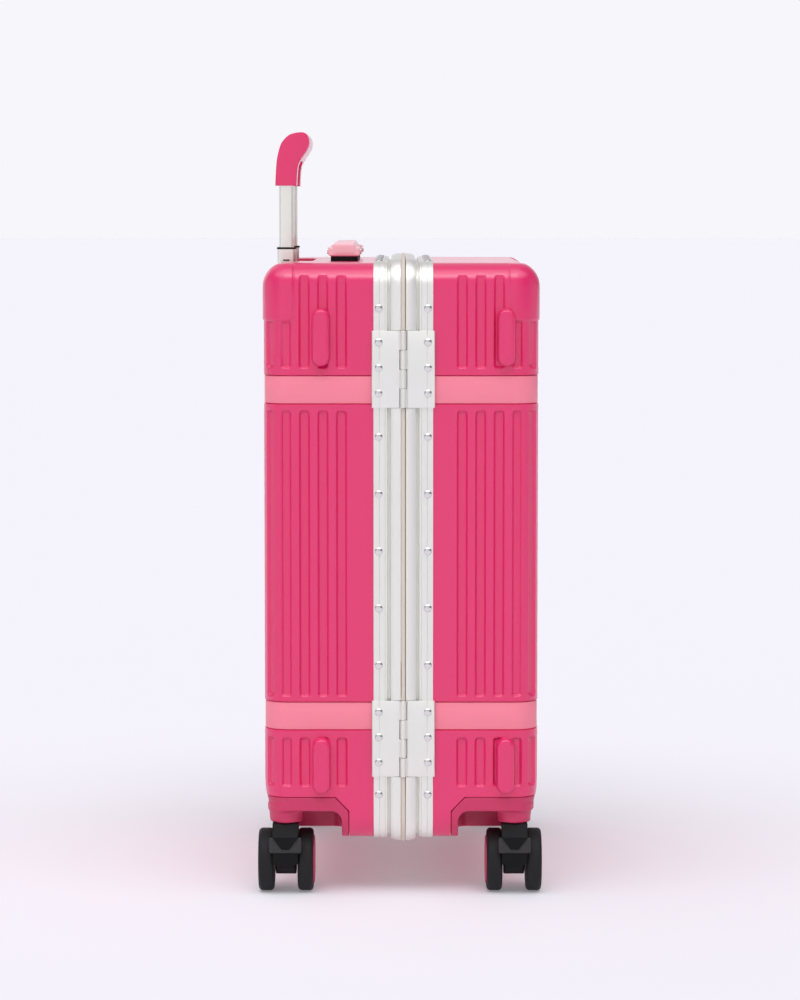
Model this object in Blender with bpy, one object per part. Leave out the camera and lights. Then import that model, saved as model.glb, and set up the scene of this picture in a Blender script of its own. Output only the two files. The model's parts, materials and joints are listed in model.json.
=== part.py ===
"""A cabin suitcase with two hard shells in an aluminium frame, on four twin-wheel casters.

Metres, +Z up. X runs across the case from the hinge side (-X) to the lock side (+X), and Y
from the front shell (-Y) to the back shell (+Y), which carries the telescopic handle. The
origin is on the floor, under the middle of the whole object.
"""

import math

import bmesh
import bpy
from mathutils import Matrix, Vector

# The case: two shells that meet at a seam
CASE_WIDTH = 0.370
CASE_LOW, CASE_HIGH = 0.0485, 0.5378
BACK_FACE, FRONT_FACE, SEAM = 0.1153, -0.1173, -0.0028
CORNER_RADIUS = 0.020        # in the frame's plane
EDGE_RADIUS = 0.018          # round the outer face of a shell
WALL = 0.003
GAP = 0.0003                 # between pieces that touch
ROUND_STEPS = 4              # facets in a quarter turn of a corner

# The casters: the swivel axis is set in from the hinge and lock faces, and the axle trails it
CASTER_INSET, CASTER_Y = 0.018, 0.0975
WHEEL_RADIUS, WHEEL_WIDTH, WHEEL_INNER = 0.02675, 0.0135, 0.0100
TRAIL = 0.012
AXLE_RADIUS = 0.0030

# The feet stand out on the hinge side and the trailing wheels on the lock side, and the case
# lies on X so that the whole is centred between them
FOOT_HEIGHT = 0.0080
LOCK_REACH = TRAIL + WHEEL_RADIUS - CASTER_INSET
CASE_X = (FOOT_HEIGHT - LOCK_REACH) / 2
HINGE_FACE = CASE_X - CASE_WIDTH / 2
LOCK_FACE = CASE_X + CASE_WIDTH / 2

# The frame, measured from the seam and out from the shell's side face
FRAME_REACH = 0.0252
FRAME_PROUD = 0.0010
SHELL_RIM = 0.0145
RIM_STEP = 0.0005
SEAL_HALF = 0.0016
SEAL_PROUD = 0.0036

# The belts round each shell
BELT_HEIGHT = 0.0238
BELT_LOWS = {"lower": 0.1427, "upper": 0.4194}
BELT_DEPTH, BELT_SUNK, BELT_THICK = 0.0019, 0.0008, 0.0008

# The feet on the hinge side, as distances from the seam, offset so that the open halves nest
FOOT_WIDTH = 0.0145
FOOT_SPANS = ((0.0888, 0.1359), (0.4514, 0.4993))
FOOT_FROM_SEAM = {"back": 0.0693, "front": 0.0867}

# The hinges
HINGE_LENGTH = 0.0648
HINGE_MIDDLES = {"lower": 0.1357, "upper": 0.4487}
HINGE_AXIS_OUT = 0.0046
LEAF_INNER, LEAF_OUTER = 0.0029, 0.0267
LEAF_TOP = 0.0034
KNUCKLE_RADIUS, KNUCKLE_BORE, PIN_RADIUS = 0.0024, 0.0014, 0.0011
KNUCKLES = 4

# The housings over the casters
HOUSING_HIGH, WELL_HIGH, BOSS_LOW = 0.0849, 0.0729, 0.0620
HOUSING_REACH, HOUSING_TOP_REACH, WELL_REACH = 0.053, 0.042, 0.0472

# The telescopic handle
TUBE_X, TUBE_Y = 0.052, 0.0992
TUBE_WALL = 0.0012
OUTER_TUBE = (0.0252, 0.0191)
MIDDLE_TUBE = (0.0220, 0.0159)
INNER_TUBE = (0.0188, 0.0127)
CUP_HALF, CUP_FRONT, CUP_BACK = 0.080, 0.072, 0.1124
CUP_FLOOR, CUP_WALL = 0.501, 0.004
MIDDLE_TOP, MIDDLE_LENGTH = 0.5480, 0.4200
GRIP_LOW, GRIP_HALF = 0.603, 0.066
INNER_LENGTH = 0.421
SOCKET_DEPTH = 0.012
RAIL_LOW, RAIL_BASE = 0.069, 0.0125

# The carry handles on the top and on the lock side
CARRY_Y = 0.0482
CARRY_HALF, CARRY_LEG = 0.090, 0.078
SIDE_HANDLE_Z = (CASE_LOW + CASE_HIGH) / 2

# The latches and the lock, on the lock side
LATCH_LENGTH = 0.044
LATCH_PIVOT = (-0.0190, 0.0066)
LOCK_Z = SIDE_HANDLE_Z
DIAL_RADIUS, DIAL_OUT, DIAL_PITCH = 0.0052, 0.0070, 0.0085
LOCK_Y_FROM_SEAM = 0.0150

HALVES = {"back": (1, BACK_FACE - SEAM), "front": (-1, SEAM - FRONT_FACE)}
SIDES = {"hinge": -1, "lock": 1}

COLOURS = {
    "shell_pink": ((0.80, 0.06, 0.20), 0.35, 0.0),
    "housing_pink": ((0.60, 0.045, 0.14), 0.5, 0.0),
    "belt_pink": ((0.94, 0.27, 0.38), 0.5, 0.0),
    "handle_pink": ((0.97, 0.42, 0.50), 0.5, 0.0),
    "aluminium": ((0.80, 0.80, 0.78), 0.3, 1.0),
    "steel": ((0.70, 0.70, 0.70), 0.25, 1.0),
    "seal": ((0.74, 0.68, 0.60), 0.6, 0.0),
    "black_plastic": ((0.02, 0.02, 0.02), 0.5, 0.0),
    "tyre": ((0.03, 0.03, 0.03), 0.7, 0.0),
    "lining": ((0.25, 0.22, 0.22), 0.9, 0.0),
}


def clear_scene():
    for thing in list(bpy.data.objects):
        bpy.data.objects.remove(thing, do_unlink=True)


def make_materials():
    made = {}
    for name, (colour, roughness, metallic) in COLOURS.items():
        material = bpy.data.materials.new(name)
        material.use_nodes = True
        shader = material.node_tree.nodes["Principled BSDF"]
        shader.inputs["Base Color"].default_value = (*colour, 1.0)
        shader.inputs["Roughness"].default_value = roughness
        shader.inputs["Metallic"].default_value = metallic
        made[name] = material
    return made


# ---------------------------------------------------------------- plane outlines

def rectangle(low_u, high_u, low_v, high_v):
    return [(low_u, low_v), (high_u, low_v), (high_u, high_v), (low_u, high_v)]


def rounded_rectangle(low_u, high_u, low_v, high_v, radius, steps=ROUND_STEPS):
    """Corner by corner, each a quarter turn, counter-clockwise."""
    corners = [(high_u - radius, high_v - radius, 0), (low_u + radius, high_v - radius, 1),
               (low_u + radius, low_v + radius, 2), (high_u - radius, low_v + radius, 3)]
    points = []
    for u, v, quarter in corners:
        for step in range(steps + 1):
            angle = (quarter + step / steps) * math.pi / 2
            points.append((u + radius * math.cos(angle), v + radius * math.sin(angle)))
    return points


def circle(u, v, radius, steps=16):
    """Half a step round, so that a flat faces straight down."""
    turns = [2 * math.pi * (step + 0.5) / steps for step in range(steps)]
    return [(u + radius * math.cos(turn), v + radius * math.sin(turn)) for turn in turns]


def case_outline(inset):
    """The case's outline across the seam's plane, `inset` inside its side face."""
    radius = max(CORNER_RADIUS - inset, 0.002)
    return rounded_rectangle(HINGE_FACE + inset, LOCK_FACE - inset,
                             CASE_LOW + inset, CASE_HIGH - inset, radius)


# ---------------------------------------------------------------- solids

def skin(rings, loop=False):
    """A closed surface through rings of equal length, capped at both ends unless it loops."""
    mesh = bmesh.new()
    rows = [[mesh.verts.new(point) for point in ring] for ring in rings]
    pairs = list(zip(rows, rows[1:]))
    if loop:
        pairs.append((rows[-1], rows[0]))
    else:
        mesh.faces.new(rows[0])
        mesh.faces.new(rows[-1])
    for first, second in pairs:
        for index in range(len(first)):
            following = (index + 1) % len(first)
            mesh.faces.new((first[index], first[following], second[following], second[index]))
    bmesh.ops.recalc_face_normals(mesh, faces=mesh.faces)
    return mesh


def on_axis(axis, u, v, along):
    return {"X": (along, u, v), "Y": (u, along, v), "Z": (u, v, along)}[axis]


def prism(outline, axis, low, high):
    """An outline in the plane across an axis, drawn from low to high along it."""
    return skin([[on_axis(axis, u, v, along) for u, v in outline] for along in (low, high)])


def box(low, high):
    return prism(rectangle(low[0], high[0], low[1], high[1]), "Z", low[2], high[2])


def turned(profile, centre, axis, steps):
    """A ring body: the profile's (along, radius) points turned once round an axis."""
    rings = []
    for along, radius in profile:
        u0, v0 = [value for name, value in zip("XYZ", centre) if name != axis]
        flat = circle(u0, v0, radius / math.cos(math.pi / steps), steps)
        offset = centre["XYZ".index(axis)] + along
        rings.append([on_axis(axis, u, v, offset) for u, v in flat])
    return skin(rings, loop=True)


def half_rings(half, path):
    """Case outlines at (distance from the seam, inset from the side face) points."""
    sign = HALVES[half][0]
    return [[(x, SEAM + sign * reach, z) for x, z in case_outline(inset)] for reach, inset in path]


def edge_arc(depth, inset):
    """The rounded edge of a shell, from its side to its face, `inset` inside the outer skin."""
    radius = EDGE_RADIUS - inset
    turns = [math.pi / 2 * step / ROUND_STEPS for step in range(ROUND_STEPS + 1)]
    return [(depth - EDGE_RADIUS + radius * math.sin(turn),
             inset + radius * (1 - math.cos(turn))) for turn in turns]


def half_solid(half):
    """The whole space that a shell's outer surface holds, for trimming what lies flush in it."""
    depth = HALVES[half][1]
    return skin(half_rings(half, [(0.002, 0.0)] + edge_arc(depth, 0.0)))


# ---------------------------------------------------------------- objects

MATERIALS = {}
CARRIERS = {}


def link(name, mesh, origin=(0, 0, 0)):
    """An object whose origin is `origin`, with its mesh where it was drawn."""
    mesh.transform(Matrix.Translation(-Vector(origin)))
    data = bpy.data.meshes.new(name)
    mesh.to_mesh(data)
    mesh.free()
    thing = bpy.data.objects.new(name, data)
    thing.location = origin
    bpy.context.scene.collection.objects.link(thing)
    return thing


def hide_guide(guide):
    guide.hide_render = True
    guide.display_type = "WIRE"
    return guide


def combine(thing, operation, tool):
    """One Boolean step; the tool is a mesh, or a hidden guide object that is ready."""
    if not isinstance(tool, bpy.types.Object):
        step = len(thing.modifiers) + 1
        tool = hide_guide(link(f"{thing.name}_{operation.lower()}_{step}", tool))
    modifier = thing.modifiers.new(tool.name[:60], "BOOLEAN")
    modifier.operation = operation
    modifier.solver = "EXACT"
    modifier.object = tool


def piece(name, material, mesh, origin=(0, 0, 0), carrier=None, add=(), keep=(), cut=()):
    """A named sub-part: its first solid, with others added, kept within, or cut away."""
    thing = link(name, mesh, origin)
    thing.data.materials.append(MATERIALS[material])
    for tool in add:
        combine(thing, "UNION", tool)
    for tool in keep:
        combine(thing, "INTERSECT", tool)
    for tool in cut:
        combine(thing, "DIFFERENCE", tool)
    if carrier:
        empty = CARRIERS[carrier]
        thing.parent = empty
        thing.location = Vector(origin) - empty.matrix_world.translation
    return thing


def carrier(name, origin, parent=None):
    """An empty on a joint's axis, which the pieces of one moving body hang from."""
    empty = bpy.data.objects.new(f"{name}_joint", None)
    bpy.context.scene.collection.objects.link(empty)
    empty.location = origin
    if parent:
        empty.parent = CARRIERS[parent]
        empty.location = Vector(origin) - CARRIERS[parent].matrix_world.translation
    bpy.context.view_layer.update()
    CARRIERS[name] = empty


def smooth_round_pieces(angle):
    for thing in bpy.data.objects:
        if thing.type == "MESH" and not thing.hide_render:
            thing.data.shade_smooth()
            thing.data.set_sharp_from_angle(angle=angle)


# ---------------------------------------------------------------- shells, frames and belts

def shell_mesh(half):
    """A tub with an even wall, stepped in at its rim where the frame's flange covers it."""
    depth = HALVES[half][1]
    inner = [(depth - WALL, EDGE_RADIUS)] + edge_arc(depth, WALL)[-2::-1]
    rim = [(SHELL_RIM, WALL), (SHELL_RIM, RIM_STEP),
           (FRAME_REACH + GAP, RIM_STEP), (FRAME_REACH + GAP, 0.0)]
    return skin(half_rings(half, inner + rim + edge_arc(depth, 0.0)))


def belt_outline(half, outer, inner, start):
    """A U in plan round a shell's three sides, between two depths below its surface."""
    sign, depth = HALVES[half]

    def path(inset):
        arc = [(start, inset)] + edge_arc(depth, inset)
        left = [(HINGE_FACE + inward, SEAM + sign * reach) for reach, inward in arc]
        right = [(LOCK_FACE - inward, SEAM + sign * reach) for reach, inward in arc]
        return left + right[::-1]

    return path(outer) + path(inner)[::-1]


def make_belts(half, carrier_name):
    channels = []
    for level, low in BELT_LOWS.items():
        outline = belt_outline(half, -0.002, BELT_DEPTH, FRAME_REACH + GAP)
        channels.append(prism(outline, "Z", low, low + BELT_HEIGHT))
        outline = belt_outline(half, BELT_SUNK, BELT_SUNK + BELT_THICK, FRAME_REACH + 2 * GAP)
        belt = prism(outline, "Z", low + GAP, low + BELT_HEIGHT - GAP)
        piece(f"{half}_belt_{level}", "belt_pink", belt, carrier=carrier_name)
    return channels


def foot(half, low, high):
    """An oblong foot with round ends, from inside the wall to its chamfered top."""
    y = SEAM + HALVES[half][0] * FOOT_FROM_SEAM[half]
    rings = []
    for out, inset in ((-0.001, 0), (FOOT_HEIGHT - 0.002, 0), (FOOT_HEIGHT, 0.002)):
        width = FOOT_WIDTH / 2 - inset
        flat = rounded_rectangle(y - width, y + width, low + inset, high - inset, width - 0.0001)
        rings.append([(HINGE_FACE - out, u, v) for u, v in flat])
    return skin(rings)


def caster_axis(half, side):
    x = CASE_X + SIDES[side] * (CASE_WIDTH / 2 - CASTER_INSET)
    return x, HALVES[half][0] * CASTER_Y


def corner_block(half, side, grow=0.0):
    """The bottom corner that a wheel housing fills, with sloping inner edges at its top."""
    x, y = caster_axis(half, side)
    sign_x, sign_y = SIDES[side], HALVES[half][0]
    rings = []
    for z, reach in ((CASE_LOW - 0.01, HOUSING_REACH), (WELL_HIGH, HOUSING_REACH),
                     (HOUSING_HIGH + grow, HOUSING_TOP_REACH)):
        spans_x = sorted((x - sign_x * (reach + grow), x + sign_x * 0.05))
        spans_y = sorted((y - sign_y * (reach + grow), y + sign_y * 0.05))
        rings.append([(u, v, z) for u, v in rectangle(*spans_x, *spans_y)])
    return skin(rings)


def make_housing(half, side, carrier_name):
    """The corner casting over a caster: a roof, two legs, and the boss that holds the stem."""
    x, y = caster_axis(half, side)
    sign_x, sign_y = SIDES[side], HALVES[half][0]
    spans_x = sorted((x - sign_x * WELL_REACH, x + sign_x * 0.06))
    spans_y = sorted((y - sign_y * WELL_REACH, y + sign_y * 0.06))
    well = prism(rectangle(*spans_x, *spans_y), "Z", CASE_LOW - 0.02, WELL_HIGH)
    boss = prism(circle(x, y, 0.0130, 20), "Z", BOSS_LOW, WELL_HIGH + 0.002)
    trim = hide_guide(link(f"{half}_{side}_trim", half_solid(half)))
    housing = piece(f"{half}_housing_{side}", "housing_pink", corner_block(half, side),
                    carrier=carrier_name, keep=[trim], cut=[well])
    combine(housing, "UNION", boss)


def cup_block(grow=0.0):
    half = CUP_HALF + grow
    return box((CASE_X - half, CUP_FRONT - grow, CUP_FLOOR - CUP_WALL - grow),
               (CASE_X + half, BACK_FACE + 0.01, CASE_HIGH + 0.01))


def tube_section(size, x, grow=0.0):
    half_x, half_y = size[0] / 2 + grow, size[1] / 2 + grow
    return rounded_rectangle(x - half_x, x + half_x, TUBE_Y - half_y, TUBE_Y + half_y, 0.003, 2)


def leg_section(x, y, grow=0.0):
    return rectangle(x - 0.006 - grow, x + 0.006 + grow, y - 0.005 - grow, y + 0.005 + grow)


def handle_leg_holes():
    """Through the top and the lock side of the back shell, for the carry handles' legs."""
    holes = []
    for side in SIDES.values():
        top = leg_section(CASE_X + side * CARRY_LEG, CARRY_Y, 0.0006)
        holes.append(prism(top, "Z", CASE_HIGH - 0.008, CASE_HIGH + 0.005))
        z = SIDE_HANDLE_Z + side * CARRY_LEG
        span = 0.0056
        lock_side = rectangle(CARRY_Y - span, CARRY_Y + span, z - 0.0066, z + 0.0066)
        holes.append(prism(lock_side, "X", LOCK_FACE - 0.008, LOCK_FACE + 0.005))
    return holes


def make_shell(half, carrier_name=None):
    cuts = make_belts(half, carrier_name)
    for side in SIDES:
        cuts.append(corner_block(half, side, GAP))
        make_housing(half, side, carrier_name)
    if half == "back":
        cuts.append(cup_block(GAP))
        cuts.extend(handle_leg_holes())
    feet = [foot(half, low, high) for low, high in FOOT_SPANS]
    piece(f"{half}_shell", "shell_pink", shell_mesh(half), carrier=carrier_name,
          add=feet, cut=cuts)


# From the outer edge of the flange over the bulge to the seam, and back inside: distance from
# the seam, and height above the shell's side face
FRAME_SECTION = (
    (FRAME_REACH, -0.0002), (FRAME_REACH, FRAME_PROUD), (0.0153, FRAME_PROUD),
    (0.0149, 0.0004), (0.0136, 0.0004), (0.0134, -0.0009), (0.0108, -0.0009),
    (0.0104, 0.0016), (0.0086, 0.0024), (0.0050, 0.0030), (0.0026, 0.0033),
    (0.0020, 0.0028), (0.0020, -0.0024), (0.0142, -0.0024), (0.0142, -0.0002),
)
SEAL_SECTION = ((SEAL_HALF, -0.0015), (SEAL_HALF, 0.0031), (0.0008, SEAL_PROUD),
                (-0.0008, SEAL_PROUD), (-SEAL_HALF, 0.0031), (-SEAL_HALF, -0.0015))


def hinge_lands():
    """The frame is milled down to its flange's height under each hinge."""
    lands = []
    for middle in HINGE_MIDDLES.values():
        reach = HINGE_LENGTH / 2 + GAP
        lands.append(box((HINGE_FACE - 0.02, SEAM - 0.03, middle - reach),
                         (HINGE_FACE - FRAME_PROUD, SEAM + 0.03, middle + reach)))
    return lands


def make_frame(half, carrier_name=None):
    rings = half_rings(half, [(reach, -out) for reach, out in FRAME_SECTION])
    piece(f"{half}_frame", "aluminium", skin(rings, loop=True), carrier=carrier_name,
          cut=hinge_lands())


def make_seal():
    rings = half_rings("back", [(reach, -out) for reach, out in SEAL_SECTION])
    piece("frame_seal", "seal", skin(rings, loop=True), cut=hinge_lands())


# ---------------------------------------------------------------- hinges

def hinge_axis():
    return HINGE_FACE - HINGE_AXIS_OUT, SEAM


def hinge_leaf(half, level, carrier_name):
    """A plate on the frame, with every second knuckle of the hinge strapped to its edge."""
    sign = HALVES[half][0]
    x, y = hinge_axis()
    low = HINGE_MIDDLES[level] - HINGE_LENGTH / 2
    high = low + HINGE_LENGTH

    def across(points):
        return [(HINGE_FACE - out, SEAM + sign * reach) for reach, out in points]

    under = FRAME_PROUD + GAP
    plate = prism(across([(LEAF_INNER, under), (LEAF_OUTER, under), (LEAF_OUTER, LEAF_TOP - 0.001),
                          (LEAF_OUTER - 0.001, LEAF_TOP), (LEAF_INNER, LEAF_TOP)]), "Z", low, high)
    pitch = HINGE_LENGTH / KNUCKLES
    own = [index for index in range(KNUCKLES) if (index % 2 == 1) == (half == "back")]
    solids = []
    for index in own:
        foot_z = low + index * pitch + GAP / 2
        head_z = foot_z + pitch - GAP
        solids.append(prism(circle(x, y, KNUCKLE_RADIUS, 12), "Z", foot_z, head_z))
        strap = across([(0.0, 0.0023), (LEAF_INNER + 0.001, 0.0023),
                        (LEAF_INNER + 0.001, LEAF_TOP - 0.0002), (0.0, LEAF_TOP - 0.0002)])
        solids.append(prism(strap, "Z", foot_z, head_z))
    bore = prism(circle(x, y, KNUCKLE_BORE, 12), "Z", low - 0.001, high + 0.001)
    piece(f"hinge_leaf_{half}_{level}", "aluminium", plate, carrier=carrier_name,
          add=solids, cut=[bore])


def make_hinges():
    x, y = hinge_axis()
    for level, middle in HINGE_MIDDLES.items():
        hinge_leaf("back", level, None)
        hinge_leaf("front", level, "front_case")
        pin = prism(circle(x, y, PIN_RADIUS, 12), "Z",
                    middle - HINGE_LENGTH / 2, middle + HINGE_LENGTH / 2)
        piece(f"hinge_pin_{level}", "steel", pin, origin=(x, y, middle))


# ---------------------------------------------------------------- casters

def make_caster(half, side):
    x, y = caster_axis(half, side)
    name = f"caster_{half}_{side}"
    axle_x = x + TRAIL
    carrier(name, (x, y, BOSS_LOW), "front_case" if half == "front" else None)

    def low_fork(points):
        return [(x + u, z) for u, z in points]

    stem = prism(circle(x, y, 0.0110, 20), "Z", 2 * WHEEL_RADIUS + GAP, BOSS_LOW - GAP)
    cheek = prism(low_fork([(-0.0150, 0.0502), (-0.0155, 0.0340), (-0.0060, 0.0226),
                            (0.0060, 0.0150), (0.0170, 0.0160), (0.0215, 0.0250),
                            (0.0200, 0.0380), (0.0085, 0.0545), (-0.0085, 0.0545)]),
                  "Y", y - 0.0089, y + 0.0089)
    shoulder = box((x - 0.0190, y - 0.0140, 0.0368), (x - 0.0150, y + 0.0140, 0.0502))
    bore = prism(circle(axle_x, WHEEL_RADIUS, AXLE_RADIUS + 0.0002), "Y", y - 0.02, y + 0.02)
    piece(f"{name}_fork", "black_plastic", cheek, (x, y, BOSS_LOW), name,
          add=[stem, shoulder], cut=[bore])

    reach = WHEEL_INNER + WHEEL_WIDTH - 0.001
    axle = prism(circle(axle_x, WHEEL_RADIUS, AXLE_RADIUS), "Y", y - reach, y + reach)
    piece(f"{name}_axle", "steel", axle, (axle_x, y, WHEEL_RADIUS), name)

    for place, sign in (("outer", 1), ("inner", -1)):
        direction = sign * HALVES[half][0]
        middle = (axle_x, y + direction * (WHEEL_INNER + WHEEL_WIDTH / 2), WHEEL_RADIUS)
        wheel_name = f"{name.replace('caster', 'wheel')}_{place}"
        carrier(wheel_name, middle, name)
        half_width = WHEEL_WIDTH / 2
        profile = [(-half_width, AXLE_RADIUS + 0.0004), (-half_width, WHEEL_RADIUS - 0.0030),
                   (-half_width + 0.0025, WHEEL_RADIUS), (half_width - 0.0025, WHEEL_RADIUS),
                   (half_width, WHEEL_RADIUS - 0.0030), (half_width, AXLE_RADIUS + 0.0004)]
        piece(wheel_name, "tyre", turned(profile, middle, "Y", 20), middle, wheel_name)


# ---------------------------------------------------------------- telescopic handle

def tube(size, x, low, high):
    """A hollow rectangular tube with round corners, standing on Z."""
    outer = tube_section(size, x)
    inner = tube_section(size, x, -TUBE_WALL)
    rings = [(outer, low), (outer, high), (inner, high), (inner, low)]
    return skin([[(u, v, z) for u, v in flat] for flat, z in rings], loop=True)


# The grip's side view: distance towards the front from the tubes' middle, and height
GRIP_SECTION = ((-0.0094, 0.0), (-0.0088, 0.0130), (-0.0078, 0.0235), (-0.0054, 0.0335),
                (-0.0027, 0.0388), (0.0030, 0.0442), (0.0105, 0.0462), (0.0158, 0.0460),
                (0.0188, 0.0436), (0.0201, 0.0392), (0.0197, 0.0341), (0.0170, 0.0289),
                (0.0134, 0.0237), (0.0108, 0.0184), (0.0097, 0.0115), (0.0091, 0.0))
BUTTON_U, BUTTON_TOP, BUTTON_SIZE, BUTTON_TRAVEL = 0.0080, 0.0452, (0.030, 0.009), 0.0025


def make_telescopic_handle():
    trim = hide_guide(link("cup_trim", half_solid("back")))
    pocket = box((CASE_X - CUP_HALF + CUP_WALL, CUP_FRONT + CUP_WALL, CUP_FLOOR),
                 (CASE_X + CUP_HALF - CUP_WALL, CUP_BACK, CASE_HIGH + 0.02))
    holes = [prism(tube_section(MIDDLE_TUBE, CASE_X + side * TUBE_X, 0.0004), "Z",
                   CUP_FLOOR - 0.01, CUP_FLOOR + 0.01) for side in SIDES.values()]
    piece("handle_cup", "shell_pink", cup_block(), keep=[trim], cut=[pocket] + holes)

    base = box((CASE_X - TUBE_X - 0.014, TUBE_Y - OUTER_TUBE[1] / 2, RAIL_LOW),
               (CASE_X + TUBE_X + 0.014, TUBE_Y + OUTER_TUBE[1] / 2, RAIL_LOW + RAIL_BASE))
    rail_low, rail_high = RAIL_LOW + RAIL_BASE - 0.003, CUP_FLOOR - CUP_WALL - GAP
    rails = [tube(OUTER_TUBE, CASE_X + side * TUBE_X, rail_low, rail_high)
             for side in SIDES.values()]
    piece("handle_rails", "aluminium", base, add=rails)

    half, back, front = 0.072, TUBE_Y + 0.0097, TUBE_Y - 0.0120
    outline = [(CASE_X - half, back), (CASE_X - half, front), (CASE_X + half, front),
               (CASE_X + half, back), (CASE_X + half - 0.0016, back),
               (CASE_X + half - 0.0016, front + 0.0016), (CASE_X - half + 0.0016, front + 0.0016),
               (CASE_X - half + 0.0016, back)]
    piece("rail_cover", "lining", prism(outline, "Z", RAIL_LOW - 0.004, rail_high))

    carrier("handle_middle_stage", (CASE_X, TUBE_Y, MIDDLE_TOP))
    carrier("handle_grip_stage", (CASE_X, TUBE_Y, GRIP_LOW), "handle_middle_stage")
    for side, sign in SIDES.items():
        x = CASE_X + sign * TUBE_X
        middle = tube(MIDDLE_TUBE, x, MIDDLE_TOP - MIDDLE_LENGTH, MIDDLE_TOP)
        piece(f"middle_tube_{side}", "aluminium", middle, (x, TUBE_Y, MIDDLE_TOP),
              "handle_middle_stage")
        top = GRIP_LOW + SOCKET_DEPTH - 0.001
        inner = tube(INNER_TUBE, x, top - INNER_LENGTH, top)
        piece(f"inner_tube_{side}", "aluminium", inner, (x, TUBE_Y, GRIP_LOW),
              "handle_grip_stage")
    make_grip()


def make_grip():
    outline = [(TUBE_Y - u, GRIP_LOW + w) for u, w in GRIP_SECTION]
    body = prism(outline, "X", CASE_X - GRIP_HALF, CASE_X + GRIP_HALF)
    gap = box((CASE_X - 0.038, TUBE_Y - 0.04, GRIP_LOW - 0.01),
              (CASE_X + 0.038, TUBE_Y + 0.04, GRIP_LOW + 0.0220))
    sockets = [prism(tube_section(INNER_TUBE, CASE_X + side * TUBE_X, GAP), "Z",
                     GRIP_LOW - 0.01, GRIP_LOW + SOCKET_DEPTH) for side in SIDES.values()]
    y = TUBE_Y - BUTTON_U
    half_x, half_y = BUTTON_SIZE[0] / 2, BUTTON_SIZE[1] / 2
    top = GRIP_LOW + BUTTON_TOP
    low = top - 0.0060
    well = rounded_rectangle(CASE_X - half_x - GAP, CASE_X + half_x + GAP,
                             y - half_y - GAP, y + half_y + GAP, half_y)
    well = prism(well, "Z", low - BUTTON_TRAVEL - GAP, top + 0.01)
    piece("grip", "shell_pink", body, (CASE_X, TUBE_Y, GRIP_LOW), "handle_grip_stage",
          cut=[gap, well] + sockets)
    carrier("grip_button", (CASE_X, y, top), "handle_grip_stage")
    flat = rounded_rectangle(CASE_X - half_x, CASE_X + half_x, y - half_y, y + half_y,
                             half_y - GAP)
    piece("grip_button", "housing_pink", prism(flat, "Z", low, top), (CASE_X, y, top),
          "grip_button")


# ---------------------------------------------------------------- carry handles

def carry_handle_meshes():
    """The handle and its base round a local origin on the case's surface: X along, Z out."""
    section = ((-0.0134, 0.0043), (0.0134, 0.0043), (0.0142, 0.0065), (0.0138, 0.0110),
               (0.0110, 0.0124), (0.0074, 0.0166), (-0.0074, 0.0166), (-0.0110, 0.0124),
               (-0.0138, 0.0110), (-0.0142, 0.0065))
    bar = prism(section, "X", -CARRY_HALF, CARRY_HALF)
    arch = box((-0.064, -0.03, 0.0), (0.064, 0.03, 0.0085))
    legs = [prism(leg_section(side * CARRY_LEG, 0.0), "Z", -0.0170, 0.0100)
            for side in SIDES.values()]
    plate = box((-0.088, -0.0118, GAP), (0.088, 0.0118, 0.0022))
    ends = [box((side * 0.077 - 0.011, -0.0118, 0.0010), (side * 0.077 + 0.011, 0.0118, 0.0040))
            for side in SIDES.values()]
    holes = [prism(leg_section(side * CARRY_LEG, 0.0, 0.0004), "Z", -0.01, 0.01)
             for side in SIDES.values()]
    return bar, arch, legs, plate, ends, holes


def make_carry_handle(place, origin, turn):
    """Bar and base are drawn at the origin, then the whole is turned and moved into place."""
    matrix = Matrix.Translation(Vector(origin)) @ Matrix.Rotation(turn, 4, "Y")
    bar, arch, legs, plate, ends, holes = carry_handle_meshes()
    for mesh in (bar, arch, plate, *legs, *ends, *holes):
        mesh.transform(matrix)
    carrier(f"{place}_handle", origin)
    piece(f"{place}_handle_base", "black_plastic", plate, add=ends, cut=holes)
    handle = piece(f"{place}_handle", "handle_pink", bar, origin, f"{place}_handle", cut=[arch])
    for leg in legs:
        combine(handle, "UNION", leg)


# ---------------------------------------------------------------- latches and lock

def across_lock(points):
    """Points of (distance from the seam towards the back, height out of the lock side)."""
    return [(LOCK_FACE + out, SEAM + reach) for reach, out in points]


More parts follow.
